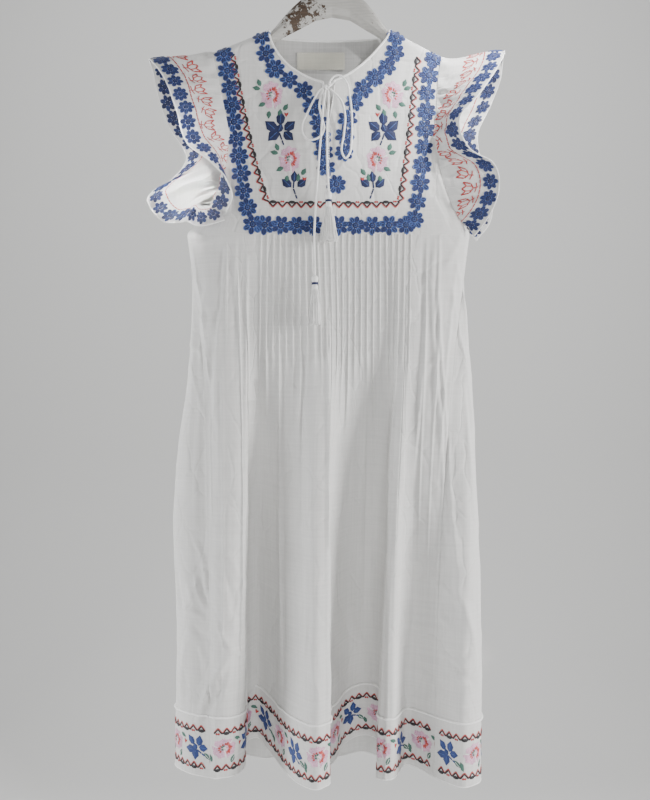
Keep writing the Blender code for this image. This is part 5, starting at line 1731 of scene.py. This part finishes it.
def cord_look(name, colour):
    """A soft cotton cord: fine rows of yarn running round it."""
    look, tree, shader = new_look(name, colour, 0.85, 0.3)
    yarn = noise(tree, mapped(tree, "Object", (1500, 1500, 620)), 1.0, 3)
    tone = noise(tree, mapped(tree, "Object", (60, 60, 60)), 1.0, 2)
    stops = ((0.34, toned(colour, 0.86)), (0.6, toned(colour, 1.03)))
    coloured(tree, shader, blend(tree, yarn, 0.5, tone, 0.5), stops, False)
    bumped(tree, shader, yarn, 0.5, 0.0004)
    return look


def paint_look(name, paint, wood):
    """Old white paint, rubbed thin and chipped through to dark wood; down-facing faces get the wood
    colour as painted shade.
    """
    look, tree, shader = new_look(name, paint, 0.5)
    place = mapped(tree, "Object", (1, 1, 1))
    grain = noise(tree, mapped(tree, "Object", (26, 240, 420)), 1.0, 4, 0.6)
    chips = noise(tree, place, 150.0, 8, 0.72)
    wear = noise(tree, place, 30.0, 4, 0.55)
    spread = node(tree, "ShaderNodeSeparateXYZ")
    tree.links.new(place, spread.inputs[0])
    left = ranged(tree, spread.outputs["X"], -0.085, -0.05, 0.07)
    right = ranged(tree, spread.outputs["X"], -0.03, 0.0, -0.1)
    facing = node(tree, "ShaderNodeNewGeometry")
    turned = node(tree, "ShaderNodeSeparateXYZ")
    tree.links.new(facing.outputs["Normal"], turned.inputs[0])
    # Down-facing faces take the dark wood colour: painted shade under the hanger.
    underside_shade = ranged(tree, turned.outputs["Z"], -0.8, -0.93, 0.22)
    worn = maths(tree, "ADD", blend(tree, chips, 0.72, wear, 0.5), maths(tree, "ADD", left, right))
    chips_and_shade = maths(tree, "GREATER_THAN", maths(tree, "ADD", worn, underside_shade), 0.69)
    painted = ramp(tree, grain, ((0.3, toned(paint, 0.82)), (0.65, paint[:3])))
    # The dark wood colour, for the chips and for the painted shade below.
    wood_and_shade = ramp(tree, grain, ((0.3, toned(wood, 0.5)), (0.7, wood[:3])))
    mix = node(tree, "ShaderNodeMix", data_type="RGBA")
    tree.links.new(chips_and_shade, mix.inputs["Factor"])
    tree.links.new(painted, mix.inputs[6])
    tree.links.new(wood_and_shade, mix.inputs[7])
    tree.links.new(mix.outputs[2], shader.inputs["Base Color"])
    rough = maths(tree, "ADD", blend(tree, chips_and_shade, 0.3, grain, 0.4), 0.2)
    tree.links.new(rough, shader.inputs["Roughness"])
    step = maths(tree, "SUBTRACT", maths(tree, "MULTIPLY", grain, 0.35), chips_and_shade)
    bumped(tree, shader, step, 0.6, 0.0006)
    return look


def steel_look(name, colour):
    """Drawn wire, dulled in patches."""
    look, tree, shader = new_look(name, colour, 0.32, 0.0, 1.0)
    drawn = noise(tree, mapped(tree, "Object", (900, 900, 900)), 1.0, 3)
    dull = noise(tree, mapped(tree, "Object", (70, 70, 70)), 1.0, 3)
    rough = maths(tree, "ADD", maths(tree, "MULTIPLY", dull, 0.35), 0.16)
    tree.links.new(rough, shader.inputs["Roughness"])
    coloured(tree, shader, dull, ((0.3, toned(colour, 0.8)), (0.7, colour[:3])))
    bumped(tree, shader, drawn, 0.15, 0.0002)
    return look


def stage_look(name, colour):
    look, tree, shader = new_look(name, colour, 0.95)
    shader.inputs["Specular IOR Level"].default_value = 0.1
    cloudy = noise(tree, mapped(tree, "Object", (0.6, 0.6, 0.6)), 1.0, 2)
    coloured(tree, shader, cloudy, ((0.3, toned(colour, 0.985)), (0.7, colour[:3])))
    return look


def carry(name, look):
    """Gives a carried CAD node its finish."""
    for material_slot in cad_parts[name].material_slots:
        material_slot.material = look


def colour_property(name, value):
    return bpy.props.FloatVectorProperty(
        name=name, description=f"Colour of the {name.lower()}", subtype="COLOR", size=3, min=0, max=1,
        default=value,
    )


def size_property(name, description, value, unit="NONE"):
    return bpy.props.FloatProperty(
        name=name, description=description, default=value, min=0, unit=unit,
    )


class DressColours(bpy.types.PropertyGroup):
    """Colours of the dress, its hanger and the stage"""

    cotton: colour_property("Cotton", (0.71, 0.705, 0.69))
    trim: colour_property("Piping and binding", (0.94, 0.935, 0.92))
    cord: colour_property("Cord", (0.95, 0.945, 0.93))
    label: colour_property("Label", (0.65, 0.635, 0.55))
    # Lighter blue thread, its brightness partly a painted highlight of the stitches' sheen.
    azure: colour_property("Light blue thread", (0.044, 0.098, 0.31))
    blue: colour_property("Blue thread", (0.016, 0.04, 0.175))
    navy: colour_property("Dark blue thread", (0.006, 0.013, 0.068))
    red: colour_property("Red thread", (0.42, 0.045, 0.042))
    coral: colour_property("Coral thread", (0.56, 0.13, 0.11))
    pink: colour_property("Pink thread", (0.65, 0.39, 0.52))
    green: colour_property("Green thread", (0.05, 0.14, 0.105))
    black: colour_property("Black thread", (0.014, 0.012, 0.015))
    white: colour_property("White thread", (0.84, 0.83, 0.8))
    paint: colour_property("Hanger paint", (0.46, 0.45, 0.425))
    wood: colour_property("Bare wood", (0.085, 0.055, 0.036))
    steel: colour_property("Hook steel", (0.56, 0.56, 0.55))
    backdrop: colour_property("Backdrop", (0.62, 0.62, 0.612))
    air: colour_property("Room light", (1.0, 1.0, 1.0))


class DressSizes(bpy.types.PropertyGroup):
    """Sizes of the cloth and cord, and the camera and lights"""

    cloth: size_property("Cloth", "Thickness of the body's cloth, in mm", 0.5)
    sleeve: size_property("Sleeve", "Thickness of the sleeves' cloth, in mm", 0.6)
    tuck: size_property("Tuck height", "How far the tucks stand out, in mm", 1.05)
    cord: size_property("Cord", "Thickness of the neck tie, in mm", 3.0)
    strands: bpy.props.IntProperty(
        name="Tassel strands", description="Threads in the skirt of each tassel", default=90, min=10,
    )
    camera_distance: size_property("Camera", "Distance from camera to dress", 1.3, "LENGTH")
    camera_lens: size_property("Lens", "Focal length of the camera", 40.3, "CAMERA")
    room: size_property("Room light", "Strength of the light from all round", 0.38)
    key: size_property("Key light", "Power of the lamp on the right", 54.0, "POWER")
    fill: size_property("Fill light", "Power of the lamp on the left", 30.0, "POWER")
    front: size_property("Front light", "Power of the lamp in front", 18.5, "POWER")
    sun: size_property("Sun", "Power of the small lamp on the right shoulder", 0.42, "POWER")
    rim: size_property("Rim light", "Power of the lamps behind the dress", 16.0, "POWER")


def settings():
    scene = bpy.context.scene
    return scene.dress_colours, scene.dress_sizes


def kept(name, make, colour, *more):
    """A finish that is made once and then used again."""
    return bpy.data.materials.get(name) or make(name, colour, *more)


def threads():
    """The thread finishes, in the order that the stitches count them."""
    colours, _ = settings()
    return [kept("thread_" + name, thread_look, getattr(colours, name)) for name in THREADS]


def white_cotton():
    return kept("cotton_voile", cotton_look, settings()[0].cotton)


def trim_cotton():
    return kept("cotton_trim", cotton_look, settings()[0].trim, "Object", False)


def cloth_piece(made, node_name):
    """Hides the CAD part that a sheet of cotton stands for."""
    stands_for(made, node_name)


def lamp(row, power):
    data = bpy.data.lights.new(row.name, "AREA")
    data.shape = "RECTANGLE"
    data.size, data.size_y = row.size
    data.energy = power
    data.spread = math.radians(row.spread)
    data.color = row.colour
    made = placed(row.name, data)
    made.location = row.place
    way = Vector(row.aim) - Vector(row.place)
    made.rotation_euler = way.to_track_quat("-Z", "Y").to_euler()


class DRESS_OT_stage(bpy.types.Operator):
    """Camera, lights and a plain pale floor that curves up behind"""

    bl_idname = "dress.stage"
    bl_label = "Stage"

    def execute(self, context):
        colours, sizes = settings()
        data = bpy.data.cameras.new("camera")
        data.lens = sizes.camera_lens
        data.sensor_width = SENSOR_WIDTH
        camera = placed("camera", data)
        camera.location = (CAMERA_X, -sizes.camera_distance, CAMERA_Z)
        camera.rotation_euler = (math.pi / 2, 0, 0)
        context.scene.camera = camera
        profile = [(STAGE_FRONT, FLOOR_Z)]
        for turn in np.linspace(0, math.pi / 2, 17):
            y = WALL_Y - STAGE_BEND * (1 - math.sin(turn))
            profile.append((y, FLOOR_Z + STAGE_BEND * (1 - math.cos(turn))))
        profile.append((WALL_Y, STAGE_TOP))
        points = [(x, y, z) for y, z in profile for x in (-STAGE_HALF_WIDTH, STAGE_HALF_WIDTH)]
        faces = [(2 * i, 2 * i + 1, 2 * i + 3, 2 * i + 2) for i in range(len(profile) - 1)]
        mesh = bpy.data.meshes.new("backdrop")
        mesh.from_pydata(points, [], faces)
        mesh.materials.append(stage_look("backdrop", colours.backdrop))
        mesh.shade_smooth()
        placed("backdrop", mesh)
        world = bpy.data.worlds.new("room")
        world.use_nodes = True
        sky = world.node_tree.nodes["Background"]
        sky.inputs["Color"].default_value = (*colours.air, 1)
        sky.inputs["Strength"].default_value = sizes.room
        context.scene.world = world
        for row in LAMPS:
            lamp(row, getattr(sizes, row.power) * row.share)
        return {"FINISHED"}


class DRESS_OT_tie(bpy.types.Operator):
    """The neck tie with its bow, knot and tassels"""

    bl_idname = "dress.tie"
    bl_label = "Neck tie"

    def execute(self, context):
        colours, sizes = settings()
        look = cord_look("cotton_cord", colours.cord)
        blue = thread_look("wound_thread", colours.navy)
        knot = tie_knot(look, sizes.cord / 2 * 0.9)
        short = tassel(TASSELS[0], look, blue, sizes.strands)
        long = tassel(TASSELS[1], look, blue, sizes.strands)
        cords = (
            ("bow_loop_left", BOW_LEFT, 70, "object", [knot]),
            ("bow_loop_right", BOW_RIGHT, 74, "object", []),
            ("tie_end_short", END_SHORT, 50, "fitting", short),
            ("tie_end_long", END_LONG, 70, "fitting", long),
        )
        for name, points, count, far_end, with_pieces in cords:
            if far_end == "fitting":
                x, y, z = points[-1]
                points = (*points, (x, y - 0.4, z - 14), (x, y - 0.5, z - 30))
            places = arc_places(points, count) * MM
            piece = cord_piece(name, places, sizes.cord, look)
        return {"FINISHED"}


class DRESS_OT_yoke(bpy.types.Operator):
    """The bib with its borders and bunches of flowers"""

    bl_idname = "dress.yoke"
    bl_label = "Yoke"

    def execute(self, context):
        _, sizes = settings()
        made = front_yoke(white_cotton(), sizes.cloth)
        sewn = yoke_stitching(threads())
        cloth_piece(made, "front_yoke")
        return {"FINISHED"}


class DRESS_OT_panels(bpy.types.Operator):
    """The tucked front panel and the plain back panel"""

    bl_idname = "dress.panels"
    bl_label = "Panels"

    def execute(self, context):
        colours, sizes = settings()
        front = front_panel(white_cotton(), sizes.cloth, sizes.tuck)
        cloth_piece(front, "front_panel")
        # A darker copy of the cotton, for the painted shade inside the back neck.
        facing = cotton_look("double_voile", [c * 0.82 for c in colours.cotton], "UV", False, 2.2)
        back = back_panel(white_cotton(), facing, sizes.cloth)
        cloth_piece(back, "back_panel")
        return {"FINISHED"}


class DRESS_OT_bands(bpy.types.Operator):
    """The deep bands at the hem with their zigzags and flowers"""

    bl_idname = "dress.bands"
    bl_label = "Hem bands"

    def execute(self, context):
        _, sizes = settings()
        for part, first, last, shift in (
            ("front", 0, SEAM_RIGHT_ROW, front_shift),
            ("back", SEAM_RIGHT_ROW, SKIRT.count, back_shift),
        ):
            grid = band_grid(first, last, shift)
            name = part + "_hem_band"
            made = hem_band(name + "_cloth", grid, white_cotton(), sizes.cloth)
            sewn = band_stitching(name + "_stitching", grid, threads(), part == "back")
            seam, edge = grid.points[0] + grid.normals[0], grid.points[-1] - grid.normals[-1] * 0.1
            piping = edging(part + "_hem_piping", seam, 1.7, trim_cotton())
            rim = edging(part + "_hem_edge", edge, 0.9, trim_cotton())
            cloth_piece(made, name)
        return {"FINISHED"}


class DRESS_OT_sleeves(bpy.types.Operator):
    """The flutter sleeves with their flowers"""

    bl_idname = "dress.sleeves"
    bl_label = "Sleeves"

    def execute(self, context):
        _, sizes = settings()
        for name, table, side in (("sleeve_left", SLEEVE_LEFT, -1), ("sleeve_right", SLEEVE_RIGHT, 1)):
            grid = sleeve_grid(table, side)
            made = sleeve(name + "_cloth", grid, white_cotton(), sizes.sleeve)
            sewn = sleeve_stitching(name + "_stitching", grid, threads(), sizes.sleeve)
            rolled = edging(name + "_hem", grid[0][-1], 0.85, trim_cotton())
            cloth_piece(made, name)
        return {"FINISHED"}


class DRESS_OT_neck(bpy.types.Operator):
    """The neck binding, the bound slit and the blank label"""

    bl_idname = "dress.neck"
    bl_label = "Neck"

    def execute(self, context):
        colours, _ = settings()
        neck_binding(trim_cotton())
        for side in (-1, 1):
            z = np.linspace(-218, SLIT_END - 4, 40)
            x = SLIT_X + side * np.interp(z, SLIT_HEIGHTS, SLIT_HALF_WIDTHS)
            points, normals = yoke_at(x, z)
            name = "slit_edge_left" if side < 0 else "slit_edge_right"
            edging(name, points + normals * 0.2, 0.8, trim_cotton())
        made, sewn = label(cotton_look("label_cloth", colours.label, "UV", False), threads())
        return {"FINISHED"}


class DRESS_OT_hanger(bpy.types.Operator):
    """Finishes for the wooden hanger and its wire hook"""

    bl_idname = "dress.hanger"
    bl_label = "Hanger"

    def execute(self, context):
        colours, _ = settings()
        carry("hanger_body", paint_look("old_paint", colours.paint, colours.wood))
        carry("hanger_hook", steel_look("hook_steel", colours.steel))
        return {"FINISHED"}


class DRESS_PT_panel(bpy.types.Panel):
    """Sizes and colours of the dress, and a button for each group of pieces"""

    bl_label = "Peasant dress"
    bl_idname = "DRESS_PT_panel"
    bl_space_type = "VIEW_3D"
    bl_region_type = "UI"
    bl_category = "Dress"

    def draw(self, context):
        for group in settings():
            box = self.layout.box()
            for name in group.__annotations__:
                box.prop(group, name)
        for operator in OPERATORS:
            self.layout.operator(operator.bl_idname)


OPERATORS = (
    DRESS_OT_stage, DRESS_OT_tie, DRESS_OT_yoke, DRESS_OT_panels, DRESS_OT_bands, DRESS_OT_sleeves,
    DRESS_OT_neck, DRESS_OT_hanger,
)
CLASSES = (DressColours, DressSizes, *OPERATORS, DRESS_PT_panel)


def register():
    for kind in CLASSES:
        bpy.utils.register_class(kind)
    bpy.types.Scene.dress_colours = bpy.props.PointerProperty(type=DressColours)
    bpy.types.Scene.dress_sizes = bpy.props.PointerProperty(type=DressSizes)


def unregister():
    del bpy.types.Scene.dress_sizes
    del bpy.types.Scene.dress_colours
    for kind in reversed(CLASSES):
        bpy.utils.unregister_class(kind)


def main():
    register()
    bpy.ops.dress.stage()
    bpy.ops.dress.tie()
    bpy.ops.dress.yoke()
    bpy.ops.dress.panels()
    bpy.ops.dress.bands()
    bpy.ops.dress.sleeves()
    bpy.ops.dress.neck()
    bpy.ops.dress.hanger()


if __name__ == "__main__":
    main()
